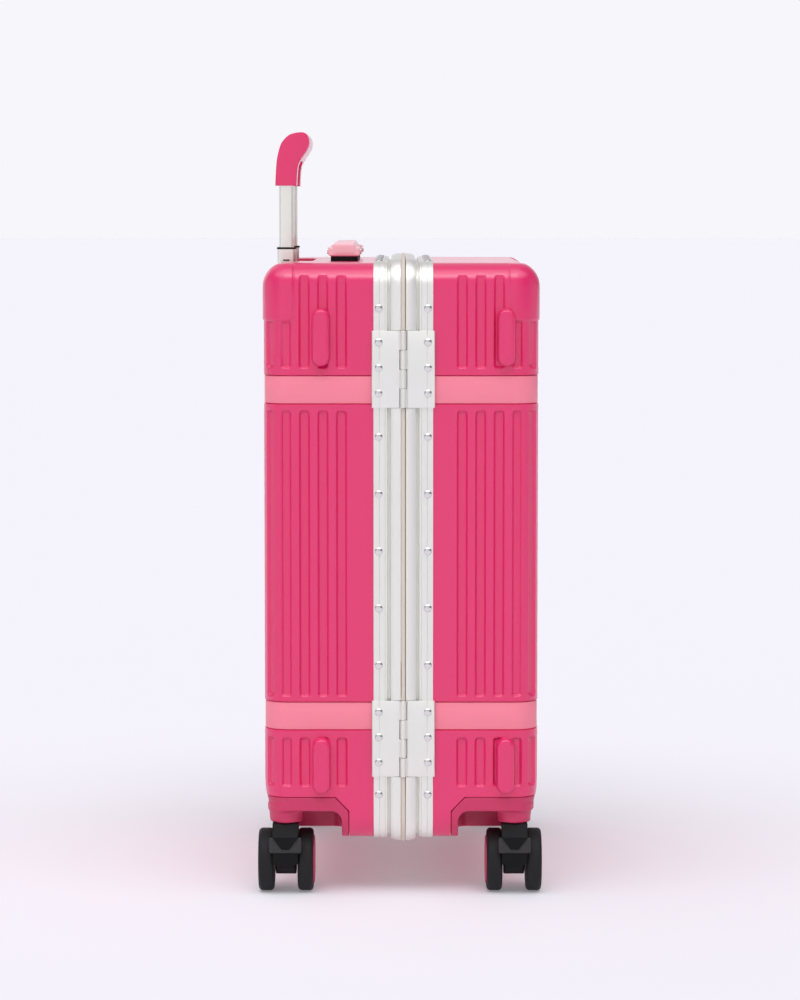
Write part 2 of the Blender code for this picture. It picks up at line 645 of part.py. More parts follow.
def make_latch(level, middle):
    """A flap hinged on the front frame that lies over the seam against the back keeper."""
    low, high = middle - LATCH_LENGTH / 2, middle + LATCH_LENGTH / 2
    pivot_x, pivot_y = across_lock([LATCH_PIVOT])[0]
    plate_low = FRAME_PROUD + GAP
    plate = prism(across_lock([(-0.0250, plate_low), (-0.0156, plate_low), (-0.0156, 0.0026),
                               (-0.0250, 0.0026)]), "Z", low, high)
    ear_shape = across_lock([(-0.0245, 0.0020), (-0.0156, 0.0020), (-0.0156, 0.0090),
                             (-0.0180, 0.0104), (-0.0215, 0.0104), (-0.0245, 0.0080)])
    ears = [prism(ear_shape, "Z", z, z + 0.004) for z in (low, high - 0.004)]
    rod = prism(circle(pivot_x, pivot_y, 0.0018, 12), "Z", low + 0.001, high - 0.001)
    piece(f"latch_base_{level}", "aluminium", plate, carrier="front_case", add=ears + [rod])

    catch = [(0.0157, plate_low), (0.0245, plate_low), (0.0245, 0.0026), (0.0205, 0.0030),
             (0.0200, 0.0085), (0.0172, 0.0085), (0.0172, 0.0026), (0.0157, 0.0026)]
    piece(f"latch_keeper_{level}", "aluminium",
          prism(across_lock(catch), "Z", middle - 0.015, middle + 0.015))

    origin = (pivot_x, pivot_y, middle)
    carrier(f"latch_flap_{level}", origin, "front_case")
    foot_z, head_z = low + 0.0045, high - 0.0045
    barrel = prism(circle(pivot_x, pivot_y, 0.0034, 12), "Z", foot_z, head_z)
    leaf = prism(across_lock([(-0.0190, 0.0070), (0.0140, 0.0070), (0.0145, 0.0040),
                              (0.0162, 0.0042), (0.0162, 0.0085), (0.0147, 0.0100),
                              (-0.0190, 0.0100)]), "Z", foot_z, head_z)
    bore = prism(circle(pivot_x, pivot_y, 0.0022, 12), "Z", low, high)
    window = prism(across_lock(rectangle(-0.0048, 0.0064, 0.0, 0.02)), "Z",
                   middle - 0.0083, middle + 0.0083)
    piece(f"latch_flap_{level}", "aluminium", leaf, origin, f"latch_flap_{level}",
          add=[barrel], cut=[bore, window])

    centre = across_lock([(0.0008, 0.0110)])[0]
    origin = (centre[0], centre[1], middle)
    carrier(f"latch_button_{level}", origin, f"latch_flap_{level}")
    button = prism(across_lock(rectangle(-0.0045, 0.0061, 0.0070, 0.0110)), "Z",
                   middle - 0.0080, middle + 0.0080)
    piece(f"latch_button_{level}", "steel", button, origin, f"latch_button_{level}")


def make_lock():
    """A block on the front flange, with three dials that show through its slots."""
    x, y = across_lock([(-LOCK_Y_FROM_SEAM, DIAL_OUT)])[0]
    block = prism(across_lock([(-0.0245, 0.0013), (-0.0156, 0.0013), (-0.0156, 0.0042),
                               (-0.0060, 0.0042), (-0.0060, 0.0095), (-0.0075, 0.0110),
                               (-0.0230, 0.0110), (-0.0245, 0.0095)]),
                  "Z", LOCK_Z - 0.024, LOCK_Z + 0.024)
    slots = []
    for number in range(3):
        z = LOCK_Z + (number - 1) * DIAL_PITCH
        slots.append(prism(circle(x, y, DIAL_RADIUS + 0.0007), "Z", z - 0.0025, z + 0.0025))
        name = f"lock_dial_{number + 1}"
        carrier(name, (x, y, z), "front_case")
        dial = prism(circle(x, y, DIAL_RADIUS, 20), "Z", z - 0.0021, z + 0.0021)
        piece(name, "steel", dial, (x, y, z), name)
    piece("lock_case", "black_plastic", block, carrier="front_case", cut=slots)


def main():
    clear_scene()
    MATERIALS.update(make_materials())
    carrier("front_case", (*hinge_axis(), 0.0))
    for half, carrier_name in (("back", None), ("front", "front_case")):
        make_shell(half, carrier_name)
        make_frame(half, carrier_name)
    make_seal()
    make_hinges()
    for half in HALVES:
        for side in SIDES:
            make_caster(half, side)
    make_telescopic_handle()
    make_carry_handle("top", (CASE_X, CARRY_Y, CASE_HIGH), 0.0)
    make_carry_handle("side", (LOCK_FACE, CARRY_Y, SIDE_HANDLE_Z), math.pi / 2)
    for level, middle in HINGE_MIDDLES.items():
        make_latch(level, middle)
    make_lock()
    smooth_round_pieces(math.radians(32))


main()
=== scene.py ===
"""The visual model of a hard shell suitcase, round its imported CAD, with camera and light.

Metres, +Z up, in the CAD's frame: X from the hinge side to the lock side, Y from the front
shell to the back shell. Fine shapes are either swept along the case's outline, or sculpted:
the surface where a field of distances is zero.
"""

import json
import math

import bmesh
import bpy
import numpy as np
from mathutils import Matrix, Vector

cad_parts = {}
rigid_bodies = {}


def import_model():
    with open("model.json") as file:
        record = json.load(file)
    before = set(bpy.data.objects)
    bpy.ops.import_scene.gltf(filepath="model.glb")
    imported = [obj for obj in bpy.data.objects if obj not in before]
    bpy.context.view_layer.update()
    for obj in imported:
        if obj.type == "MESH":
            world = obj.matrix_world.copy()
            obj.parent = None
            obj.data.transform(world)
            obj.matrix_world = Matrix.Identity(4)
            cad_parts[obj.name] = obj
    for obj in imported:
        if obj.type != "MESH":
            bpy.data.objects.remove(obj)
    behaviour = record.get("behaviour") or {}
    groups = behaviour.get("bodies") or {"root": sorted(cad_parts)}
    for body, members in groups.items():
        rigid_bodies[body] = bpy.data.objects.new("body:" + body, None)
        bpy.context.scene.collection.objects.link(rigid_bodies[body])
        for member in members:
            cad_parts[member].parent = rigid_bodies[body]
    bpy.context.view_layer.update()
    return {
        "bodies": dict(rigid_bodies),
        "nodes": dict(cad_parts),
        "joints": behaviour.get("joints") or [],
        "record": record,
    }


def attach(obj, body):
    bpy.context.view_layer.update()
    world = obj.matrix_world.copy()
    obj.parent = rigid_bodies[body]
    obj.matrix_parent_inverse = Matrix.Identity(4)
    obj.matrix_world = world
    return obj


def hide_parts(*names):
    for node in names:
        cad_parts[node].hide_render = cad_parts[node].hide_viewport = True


# ---------------------------------------------------------------- the case, as in the CAD

CASE_WIDTH = 0.370
CASE_LOW, CASE_HIGH = 0.0485, 0.5378
BACK_FACE, FRONT_FACE, SEAM = 0.1153, -0.1173, -0.0028
CASE_X = -0.006375
HINGE_FACE, LOCK_FACE = CASE_X - CASE_WIDTH / 2, CASE_X + CASE_WIDTH / 2
HALVES = {"back": (1, BACK_FACE - SEAM), "front": (-1, SEAM - FRONT_FACE)}
SIDES = {"hinge": -1, "lock": 1}
BODIES = {"back": "back_case", "front": "front_case"}

CORNER_RADIUS = 0.020          # between a side and the top or bottom
EDGE_RADIUS = 0.0215           # upright edges of the shells
CORNER_MIDDLE = CASE_WIDTH / 2 - EDGE_RADIUS + EDGE_RADIUS * math.pi / 4
WALL = 0.0030
SHELL_RIM, FRAME_REACH = 0.0145, 0.0252
BELT_HEIGHT, BELT_LOWS = 0.0238, {"lower": 0.1427, "upper": 0.4194}

GROOVE_HALF, GROOVE_WALL, GROOVE_DEPTH = 0.0049, 0.0020, 0.0023
FIRST_GROOVE = {"back": 0.0521, "front": 0.0497}
GROOVE_STEPS = 31
GROOVE_SPANS = ((0.0939, 0.1367), (0.1709, 0.4144), (0.4489, 0.6000))
GUARD_HALF, GUARD_LOW, GUARD_RISE = 0.0205, 0.4896, 0.0009

GAP = 0.0003                   # between pieces that touch
TIP = 0.00002                  # the radius where the ends of a turned solid close

# ---------------------------------------------------------------- meshes


def linked(name, data):
    thing = bpy.data.objects.new(name, data)
    bpy.context.scene.collection.objects.link(thing)
    return thing


def new_object(name, points, faces, smooth_angle=35):
    mesh = bpy.data.meshes.new(name)
    mesh.from_pydata([tuple(point) for point in points], [], [tuple(face) for face in faces])
    mesh.validate()
    thing = linked(name, mesh)
    recalculate_normals(mesh)
    shade(thing, smooth_angle)
    return thing


def recalculate_normals(mesh):
    work = bmesh.new()
    work.from_mesh(mesh)
    bmesh.ops.recalc_face_normals(work, faces=work.faces)
    work.to_mesh(mesh)
    work.free()


def shade(thing, angle=35):
    thing.data.shade_smooth()
    thing.data.set_sharp_from_angle(angle=math.radians(angle))


def settle(thing, angle=35):
    """Applies an object's modifiers."""
    graph = bpy.context.evaluated_depsgraph_get()
    mesh = bpy.data.meshes.new_from_object(thing.evaluated_get(graph))
    old = thing.data
    thing.modifiers.clear()
    thing.data = mesh
    bpy.data.meshes.remove(old)
    mesh.name = thing.name
    shade(thing, angle)
    return thing


def bevel(thing, width, segments=2, angle=30):
    modifier = thing.modifiers.new("bevel", "BEVEL")
    modifier.width = width
    modifier.segments = segments
    modifier.limit_method = "ANGLE"
    modifier.angle_limit = math.radians(angle)
    return settle(thing)


def carve(thing, tool, operation="DIFFERENCE"):
    """One Boolean step, which uses the tool up."""
    modifier = thing.modifiers.new("cut", "BOOLEAN")
    modifier.operation = operation
    modifier.solver = "EXACT"
    modifier.object = tool
    settle(thing)
    bpy.data.objects.remove(tool, do_unlink=True)
    return thing


def join(name, things):
    """Several objects as one, by gathering their meshes."""
    points, faces, offset = [], [], 0
    for thing in things:
        matrix = thing.matrix_world
        points += [tuple(matrix @ vertex.co) for vertex in thing.data.vertices]
        faces += [[index + offset for index in face.vertices] for face in thing.data.polygons]
        offset += len(thing.data.vertices)
        bpy.data.objects.remove(thing, do_unlink=True)
    return new_object(name, points, faces)


def skin(name, rings, loop=False, capped=True):
    """A surface through rings of equal length."""
    count = len(rings[0])
    points = [point for ring in rings for point in ring]
    faces = []
    rows = len(rings) if loop else len(rings) - 1
    for row in range(rows):
        first, second = row * count, (row + 1) % len(rings) * count
        for index in range(count):
            following = (index + 1) % count
            faces.append((first + index, first + following, second + following, second + index))
    if capped and not loop:
        faces.append(tuple(range(count)))
        faces.append(tuple(range(len(points) - count, len(points))))
    return new_object(name, points, faces)


def on_axis(axis, u, v, along):
    return {"X": (along, u, v), "Y": (u, along, v), "Z": (u, v, along)}[axis]


def stack(name, levels, axis="Z", loop=False):
    """A surface through (outline, height) levels along an axis."""
    rings = [[on_axis(axis, u, v, along) for u, v in outline] for outline, along in levels]
    return skin(name, rings, loop=loop)


def prism(name, outline, axis, low, high):
    return stack(name, [(outline, low), (outline, high)], axis)


def block(name, low, high):
    outline = [(low[0], low[1]), (high[0], low[1]), (high[0], high[1]), (low[0], high[1])]
    return prism(name, outline, "Z", low[2], high[2])


def lathe(name, profile, centre, axis, steps=48, loop=True):
    """A profile of (along, radius) points turned round an axis through the centre."""
    rings = []
    for along, radius in profile:
        ring = []
        for step in range(steps):
            turn = 2 * math.pi * step / steps
            point = Vector(on_axis(axis, radius * math.cos(turn), radius * math.sin(turn), along))
            ring.append(tuple(point + Vector(centre)))
        rings.append(ring)
    return skin(name, rings, loop=loop)


def rod(name, centre, axis, low, high, radius, steps, edge=None):
    """A solid pin, or the tool for a bore; its edges are broken by (length, radius) if given."""
    profile = [(low, radius), (high, radius)]
    if edge:
        along, lost = edge
        profile = [(low, radius - lost), (low + along, radius),
                   (high - along, radius), (high, radius - lost)]
    return lathe(name, [(low, TIP), *profile, (high, TIP)], centre, axis, steps, loop=False)


def rounded_rectangle(low_u, high_u, low_v, high_v, radius, steps=8):
    points = []
    for quarter in range(4):
        u = low_u + radius if quarter in (1, 2) else high_u - radius
        v = low_v + radius if quarter in (2, 3) else high_v - radius
        for step in range(steps + 1):
            angle = (quarter + step / steps) * math.pi / 2
            points.append((u + radius * math.cos(angle), v + radius * math.sin(angle)))
    return points


def oblong(u, v, half_u, half_v, radius, steps=8):
    """A rounded rectangle round a centre."""
    return rounded_rectangle(u - half_u, u + half_u, v - half_v, v + half_v, radius, steps)


def mirrored(points):
    """An outline of (across, up) points with its mirror image, back down the other side."""
    return points + [(-across_it, up) for across_it, up in points[::-1]]


# ---------------------------------------------------------------- sculpted solids

def ramp(value):
    """0 to 1, with level ends."""
    value = np.clip(value, 0.0, 1.0)
    return value * value * (3 - 2 * value)


def meet(*fields, soft=0.0005):
    """The space inside every field, with the edges between them rounded."""
    result = fields[0]
    for field in fields[1:]:
        blend = np.clip(soft - np.abs(result - field), 0, None)
        result = np.maximum(result, field) + blend * blend / (4 * soft)
    return result


def add(*fields, soft=0.0005):
    return -meet(*[-field for field in fields], soft=soft)


def cut(field, *others, soft=0.0005):
    return meet(field, *[-other for other in others], soft=soft)


def slab(value, low, high):
    return np.maximum(low - value, value - high)


def rounded(offsets, radius):
    """Distance from a rounded corner, less than 0 inside it, for offsets past its centre."""
    outside = sum(np.clip(offset, 0, None) ** 2 for offset in offsets) ** 0.5
    return outside + np.minimum(np.maximum.reduce(offsets), 0) - radius


def rounded_box(x, y, z, low, high, radius):
    return rounded([np.abs(value - (bottom + top) / 2) - (top - bottom) / 2 + radius
                    for value, bottom, top in zip((x, y, z), low, high)], radius)


def column(u, v, centre, radius):
    return np.hypot(u - centre[0], v - centre[1]) - radius


def sculpt(name, field, low, high, step):
    """The closed surface where the field is zero: one point in each cell that it crosses."""
    axes = [np.arange(start - 1.5 * step, end + 2.5 * step, step) for start, end in zip(low, high)]
    value = field(*np.meshgrid(*axes, indexing="ij"))
    shape = np.array(value.shape)
    totals, counts = np.zeros((*(shape - 1), 3)), np.zeros(shape - 1)
    crossings = []
    for axis in range(3):
        start, end = np.delete(value, -1, axis), np.delete(value, 0, axis)
        found = np.argwhere((start < 0) != (end < 0))
        others = [k for k in range(3) if k != axis]
        inner = (found[:, others] > 0) & (found[:, others] < shape[others] - 1)
        found = found[inner.all(axis=1)]
        at = tuple(found.T)
        points = np.stack([axes[k][found[:, k]] for k in range(3)], -1)
        points[:, axis] += start[at] / (start[at] - end[at]) * step
        around = []
        for back in ((0, 0), (1, 0), (1, 1), (0, 1)):
            cell = found.copy()
            cell[:, others] -= back
            around.append(tuple(cell.T))
            np.add.at(totals, around[-1], points)
            np.add.at(counts, around[-1], 1)
        crossings.append((around, (start[at] < 0) != (axis == 1)))
    used = counts > 0
    number = np.full(counts.shape, -1)
    number[used] = np.arange(used.sum())
    points = totals[used] / counts[used][:, None]
    nudge = step * 0.05
    for _ in range(2):
        here = field(*points.T)
        slope = [(field(*(points + nudge * along).T) - here) / nudge for along in np.eye(3)]
        slope = np.stack(slope, -1)
        length = np.clip((slope ** 2).sum(1), 0.05, None)
        points -= np.clip(slope * (here / length)[:, None], -step * 0.4, step * 0.4)
    faces = []
    for around, flip in crossings:
        quads = np.stack([number[cell] for cell in around], -1)
        quads[~flip] = quads[~flip][:, ::-1]
        faces += quads.tolist()
    mesh = bpy.data.meshes.new(name)
    mesh.from_pydata(points.tolist(), [], faces)
    mesh.shade_smooth()
    return linked(name, mesh)


# ---------------------------------------------------------------- materials

MATERIALS = {}
# colour, roughness, metallic, height of the grain, size of the grain (per metre)
FINISHES = {
    "shell_pink": ((0.78, 0.018, 0.140), 0.30, 0.0, 0.00002, 900),
    "housing_pink": ((0.60, 0.024, 0.112), 0.50, 0.0, 0.00004, 1600),
    "belt_pink": ((0.95, 0.238, 0.328), 0.46, 0.0, 0.00004, 1400),
    "handle_pink": ((0.98, 0.580, 0.620), 0.42, 0.0, 0.00003, 1400),
    "frame_aluminium": ((0.88, 0.88, 0.835), 0.50, 1.0, 0.00001, 2600),
    "tube_aluminium": ((0.92, 0.92, 0.84), 0.30, 1.0, 0.00001, 2600),
    "steel": ((0.74, 0.74, 0.73), 0.10, 1.0, 0.00001, 2600),
    "seal": ((0.70, 0.62, 0.52), 0.60, 0.0, 0.00004, 1200),
    "black_plastic": ((0.005, 0.005, 0.005), 0.50, 0.0, 0.00005, 1500),
    # the plate in front of each fork is a lighter black: painted highlight, for the light its
    # upward-leaning face catches
    "painted_highlight_black": ((0.020, 0.020, 0.020), 0.50, 0.0, 0.00005, 1500),
    "tyre": ((0.014, 0.014, 0.014), 0.60, 0.0, 0.00005, 1100),
    "lining": ((0.20, 0.18, 0.19), 0.85, 0.0, 0.0, 0),
}


# Clear coat over the moulded shells, and duller blacks
COATED = {"shell_pink": 0.6, "housing_pink": 0.2, "belt_pink": 0.1, "handle_pink": 0.3}
DULLED = {"black_plastic": 0.15, "tyre": 0.22, "lining": 0.2}


def set_inputs(shader, **values):
    for name, value in values.items():
        shader.inputs[name.replace("_", " ")].default_value = value


def node(tree, kind, **values):
    made = tree.nodes.new(f"ShaderNode{kind}")
    for name, value in values.items():
        setattr(made, name, value)
    return made


def grained_material(name, colour, roughness, metallic, height, size):
    """A plain finish whose roughness and surface vary a little, as moulded or drawn ones do."""
    material = bpy.data.materials.new(name)
    material.use_nodes = True
    tree = material.node_tree
    shader = tree.nodes["Principled BSDF"]
    set_inputs(shader, Base_Color=(*colour, 1.0), Metallic=metallic, Coat_Roughness=0.14,
               Coat_Weight=COATED.get(name, 0.0), Specular_IOR_Level=DULLED.get(name, 0.5))
    place = node(tree, "TexCoord")
    grain = node(tree, "TexNoise")
    set_inputs(grain, Scale=size, Detail=2.0)
    tree.links.new(place.outputs["Object"], grain.inputs["Vector"])
    spread = node(tree, "MapRange")
    set_inputs(spread, To_Min=roughness - 0.03, To_Max=roughness + 0.03)
    tree.links.new(grain.outputs["Fac"], spread.inputs["Value"])
    tree.links.new(spread.outputs["Result"], shader.inputs["Roughness"])
    bump = node(tree, "Bump")
    set_inputs(bump, Distance=height)
    tree.links.new(grain.outputs["Fac"], bump.inputs["Height"])
    tree.links.new(bump.outputs["Normal"], shader.inputs["Normal"])
    return material


def make_materials():
    for name, finish in FINISHES.items():
        MATERIALS[name] = grained_material(name, *finish)


def place(thing, body, finish, *nodes):
    """Rides on a body, takes its finish, and stands for CAD nodes."""
    thing.data.materials.clear()
    thing.data.materials.append(MATERIALS[finish])
    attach(thing, body)
    if nodes:
        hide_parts(*nodes)
    return thing


# ---------------------------------------------------------------- shells

def path_length(half):
    """From the seam on the hinge side round the face to the seam on the lock side."""
    return 2 * HALVES[half][1] + CASE_WIDTH - (4 - math.pi) * EDGE_RADIUS


def on_path(half, along):
    """Plan points and outward normals, for distances from the middle of the face."""
    sign, depth = HALVES[half]
    reach = np.abs(along)
    flat = CASE_WIDTH / 2 - EDGE_RADIUS
    angle = np.clip((reach - flat) / EDGE_RADIUS, 0, math.pi / 2)
    side = np.where(along < 0, -1.0, 1.0)
    x = CASE_X + side * (np.minimum(reach, flat) + EDGE_RADIUS * np.sin(angle))
    past = np.clip(reach - flat - EDGE_RADIUS * math.pi / 2, 0, None)
    y = SEAM + sign * (depth - EDGE_RADIUS * (1 - np.cos(angle)) - past)
    return x, y, side * np.sin(angle), sign * np.cos(angle)


def groove_middles(half):
    end = path_length(half) / 2 - FIRST_GROOVE[half]
    return np.linspace(-end, end, GROOVE_STEPS + 1)


def rounded_span(u, v, half_u, low_v, high_v, radius):
    """Distance from an upright rounded rectangle's edge, less than 0 inside it."""
    from_middle = np.abs(v - (low_v + high_v) / 2)
    return rounded((np.abs(u) - half_u + radius, from_middle - (high_v - low_v) / 2 + radius), radius)


def guard_distance(along, z):
    """Distance from the edge of the corner guards, which run up over the top."""
    return rounded_span(np.abs(along) - CORNER_MIDDLE, z, GUARD_HALF, GUARD_LOW, 0.7, 0.005)


def relief(half, along, z):
    """Depth of the grooves and belt channels below the shell's plain surface."""
    depth = np.zeros_like(z)
    nearest = np.min(np.abs(along[..., None] - groove_middles(half)), axis=-1)
    for low, high in GROOVE_SPANS:
        inside = -rounded_span(nearest, z, GROOVE_HALF, low, high, 0.0035)
        depth = np.maximum(depth, GROOVE_DEPTH * ramp(inside / GROOVE_WALL))
    depth *= ramp((guard_distance(along, z) - 0.0005) / 0.002)
    for low in BELT_LOWS.values():
        inside = -slab(z, low, low + BELT_HEIGHT)
        depth = np.maximum(depth, 0.0022 * ramp((inside + 0.0005) / 0.0007))
    return depth


def path_lines(half):
    """Where the shell's upright mesh lines are: close together on the walls of each groove."""
    end = path_length(half) / 2
    lines = [end - SHELL_RIM, end - FRAME_REACH, end - 0.034, end - 0.040]
    for offset in (GUARD_HALF - 0.0006, GUARD_HALF + 0.0004):
        lines += [CORNER_MIDDLE - offset, CORNER_MIDDLE + offset]
    lines += [-line for line in lines]
    offsets = (0.0, 0.0026, 0.0031, 0.0037, 0.0043, 0.0049, 0.0062)
    for middle in groove_middles(half):
        for offset in offsets:
            lines += [middle - offset, middle + offset]
    return thinned(lines, 0.00028)


def thinned(lines, least):
    kept = []
    for line in sorted(lines):
        if not kept or line - kept[-1] > least:
            kept.append(line)
    return np.array(kept)


def height_lines():
    lines = []
    for low, high in GROOVE_SPANS:
        for offset in (-0.0008, 0.0, 0.0006, 0.0012, 0.0019, 0.0028, 0.0040):
            lines += [low + offset, high - offset]
    for low in BELT_LOWS.values():
        for edge, inward in ((low, 1), (low + BELT_HEIGHT, -1)):
            lines += [edge + inward * offset for offset in (-0.0014, -0.0005, -0.0002, 0.0002, 0.001)]
    lines += [GUARD_LOW + offset for offset in (-0.0010, 0.0, 0.0007, 0.0015, 0.003)]
    low, high = CASE_LOW + CORNER_RADIUS, CASE_HIGH - CORNER_RADIUS
    lines += list(np.linspace(low, high, 16))
    return thinned([line for line in lines if low <= line <= high], 0.00012)


def wall_profile(inset, steps):
    """Height, inward fall and tilt of each level line of a shell, up from the bottom."""
    radius = CORNER_RADIUS - inset
    turns = np.linspace(math.pi / 2, 0, steps + 1)
    low, high = CASE_LOW + CORNER_RADIUS, CASE_HIGH - CORNER_RADIUS
    straight = height_lines()[1:-1]
    if inset:
        straight = straight[::9]
    heights = [low - radius * np.sin(turns), straight, high + radius * np.sin(turns[::-1])]
    tilts = [-turns, 0 * straight, turns[::-1]]
    height, tilt = np.concatenate(heights), np.concatenate(tilts)
    return height, inset + radius * (1 - np.cos(tilt)), tilt


def foot_taper(z):
    """How far the front and back faces draw in towards the bottom of the case."""
    return np.minimum(np.clip(0.100 - z, 0, None) ** 2 / 0.15, 0.0030)


def shell_grid(half, along, inset, steps):
    height, fall, tilt = wall_profile(inset, steps)
    lines, z = np.meshgrid(along, height, indexing="ij")
    x, y, normal_x, normal_y = on_path(half, lines)
    y = SEAM + (y - SEAM) * (1 - foot_taper(z) / HALVES[half][1])
    inward = np.broadcast_to(fall, z.shape)
    if not inset:
        # A groove's floor runs on straight until the rounded edge falls below it
        depth = relief(half, lines, z)
        blend = np.clip(0.0007 - np.abs(inward - depth), 0, None)
        soft = np.maximum(inward, depth) + blend * blend / 0.0028
        inward = np.where(depth > 0.00001, soft, inward)
        fade = ramp((1.45 - tilt) / 0.35) * (tilt > -0.1)
        rise = GUARD_RISE * fade * ramp((0.0008 - guard_distance(lines, z)) / 0.0014)
        inward = inward - rise * np.cos(tilt)
        z = z + rise * np.sin(tilt)
    return np.stack([x - normal_x * inward, y - normal_y * inward, z], -1)


def shell_blank(name, half):
    """A closed tub: the grooved outer skin, a plain inner one, and the rim between them."""
    fine = path_lines(half)
    coarse = fine[::12].copy()
    coarse[-1] = fine[-1]
    grids = shell_grid(half, fine, 0.0, 14), shell_grid(half, coarse, WALL, 5)
    points, faces, ends = [], [], []
    for grid in grids:
        number = len(points) + np.arange(grid[..., 0].size).reshape(grid.shape[:2])
        points += grid.reshape(-1, 3).tolist()
        quads = np.stack([number[:-1, :-1], number[1:, :-1], number[1:, 1:], number[:-1, 1:]], -1)
        faces += quads.reshape(-1, 4).tolist()
        faces += [number[:, 0].tolist(), number[:, -1].tolist()]
        ends += [number[0].tolist(), number[-1].tolist()]
    outer_first, outer_last, inner_first, inner_last = ends
    faces.append(outer_first + inner_first[::-1])
    faces.append(outer_last + inner_last[::-1])
    faces.append([outer_first[0], outer_last[0], inner_last[0], inner_first[0]])
    faces.append([outer_first[-1], outer_last[-1], inner_last[-1], inner_first[-1]])
    return new_object(name, points, faces, 30)


FOOT_SPANS, FOOT_WIDTH = ((0.0888, 0.1359), (0.4514, 0.4993)), 0.0145
FOOT_FROM_SEAM = {"back": 0.0693, "front": 0.0867}
CUP_HALF, CUP_FRONT, CUP_FLOOR = 0.080, 0.072, 0.501
CASTER_INSET, CASTER_Y = 0.018, 0.0975
HOUSING_HIGH, WELL_HIGH, BOSS_LOW = 0.0849, 0.0729, 0.0620
HOUSING_REACH, HOUSING_TOP_REACH, WELL_REACH = 0.0540, 0.0425, 0.0480
SEAM_GAP = 0.0004


def caster_axis(half, side):
    x = CASE_X + SIDES[side] * (CASE_WIDTH / 2 - CASTER_INSET)
    return x, HALVES[half][0] * CASTER_Y


def inward(half, side, x, y):
    """Distances from a caster's swivel axis towards the middle of the case, along X and Y."""
    axis_x, axis_y = caster_axis(half, side)
    return (axis_x - x) * SIDES[side], (axis_y - y) * HALVES[half][0]


def corner_spans(half, side, inwards, outwards):
    """The X and Y spans of a rectangle round a caster's swivel axis."""
    signs = SIDES[side], HALVES[half][0]
    return [sorted((centre - sign * inwards, centre + sign * outwards))
            for centre, sign in zip(caster_axis(half, side), signs)]


def corner_cutter(half, side):
    """The bottom corner of a shell that its wheel housing fills, less a narrow gap."""
    levels = []
    for z, reach in ((CASE_LOW - 0.01, HOUSING_REACH), (WELL_HIGH, HOUSING_REACH),
                     (HOUSING_HIGH, HOUSING_TOP_REACH)):
        (low_x, high_x), (low_y, high_y) = corner_spans(half, side, reach + SEAM_GAP, 0.05)
        flat = [(low_x, low_y), (high_x, low_y), (high_x, high_y), (low_x, high_y)]
        levels.append((flat, z + SEAM_GAP))
    return stack(f"{half}_{side}_corner", levels)


def make_shell(half):
    shell = shell_blank(f"{half}_shell_skin", half)
    cutters = [corner_cutter(half, side) for side in SIDES]
    if half == "back":
        cutters.append(block("cup_space", (CASE_X - CUP_HALF, CUP_FRONT, CUP_FLOOR - 0.004),
                             (CASE_X + CUP_HALF, BACK_FACE + 0.01, CASE_HIGH + 0.01)))
    carve(shell, join("cutters", cutters))
    place(shell, BODIES[half], "shell_pink", f"{half}_shell")


def case_distance(half, along_x, along_y, z):
    """Distance from the shell's outer form near a bottom corner, less than 0 inside it."""
    face = abs(BACK_FACE if half == "back" else FRONT_FACE) - CASTER_Y
    from_side, from_face = along_x + CASTER_INSET, along_y + face - foot_taper(z)
    plan = rounded((EDGE_RADIUS - from_side, EDGE_RADIUS - from_face), EDGE_RADIUS)
    return rounded((CORNER_RADIUS + plan, CORNER_RADIUS + CASE_LOW - z), CORNER_RADIUS)


def housing_field(half, side):
    slope = Vector((HOUSING_HIGH - WELL_HIGH, HOUSING_REACH - HOUSING_TOP_REACH)).normalized()

    def field(x, y, z):
        along_x, along_y = inward(half, side, x, y)
        form = case_distance(half, along_x, along_y, z) + 0.0002
        body = meet(form, z - HOUSING_HIGH, soft=0.0012)
        for along in (along_x, along_y):
            lean = (along - HOUSING_REACH) * slope[0] + (z - WELL_HIGH) * slope[1]
            body = meet(body, along - HOUSING_REACH, lean, soft=0.0012)
        well = rounded_box(along_x, along_y, z, (-0.1, -0.1, -0.1),
                           (WELL_REACH, WELL_REACH, WELL_HIGH), 0.009)
        axis_x, axis_y = caster_axis(half, side)
        flare = 0.10 * np.clip(z - 0.0655, 0, None)
        boss = meet(column(x, y, (axis_x, axis_y), 0.0140) - flare,
                    slab(z, BOSS_LOW, WELL_HIGH + 0.004), form, soft=0.0016)
        return add(cut(body, well, soft=0.0012), boss, soft=0.0035)
    return field


def make_housing(half, side):
    (low_x, high_x), (low_y, high_y) = corner_spans(half, side, HOUSING_REACH + 0.001, 0.0205)
    name = f"{half}_housing_{side}"
    housing = sculpt(f"{name}_skin", housing_field(half, side), (low_x, low_y, CASE_LOW - 0.001),
                     (high_x, high_y, HOUSING_HIGH + 0.001), 0.00075)
    place(housing, BODIES[half], "housing_pink", name)


def make_feet(half):
    """Oblong rests with rounded tops, flared a little where they meet the shell."""
    y = SEAM + HALVES[half][0] * FOOT_FROM_SEAM[half]
    for level, (low, high) in zip(("lower", "upper"), FOOT_SPANS):
        levels = []
        for out, width in ((-0.0016, 0.0079), (0.0002, 0.0079), (0.0008, 0.00745), (0.0055, 0.0071),
                           (0.0068, 0.0067), (0.0076, 0.0058), (0.0080, 0.0045), (0.0080, 0.0020)):
            half_v = (high - low) / 2 - FOOT_WIDTH / 2 + width
            flat = oblong(y, (low + high) / 2, width, half_v, width - 0.00001, 10)
            levels.append((flat, HINGE_FACE - out))
        place(stack(f"foot_{half}_{level}", levels, "X"), BODIES[half], "shell_pink")


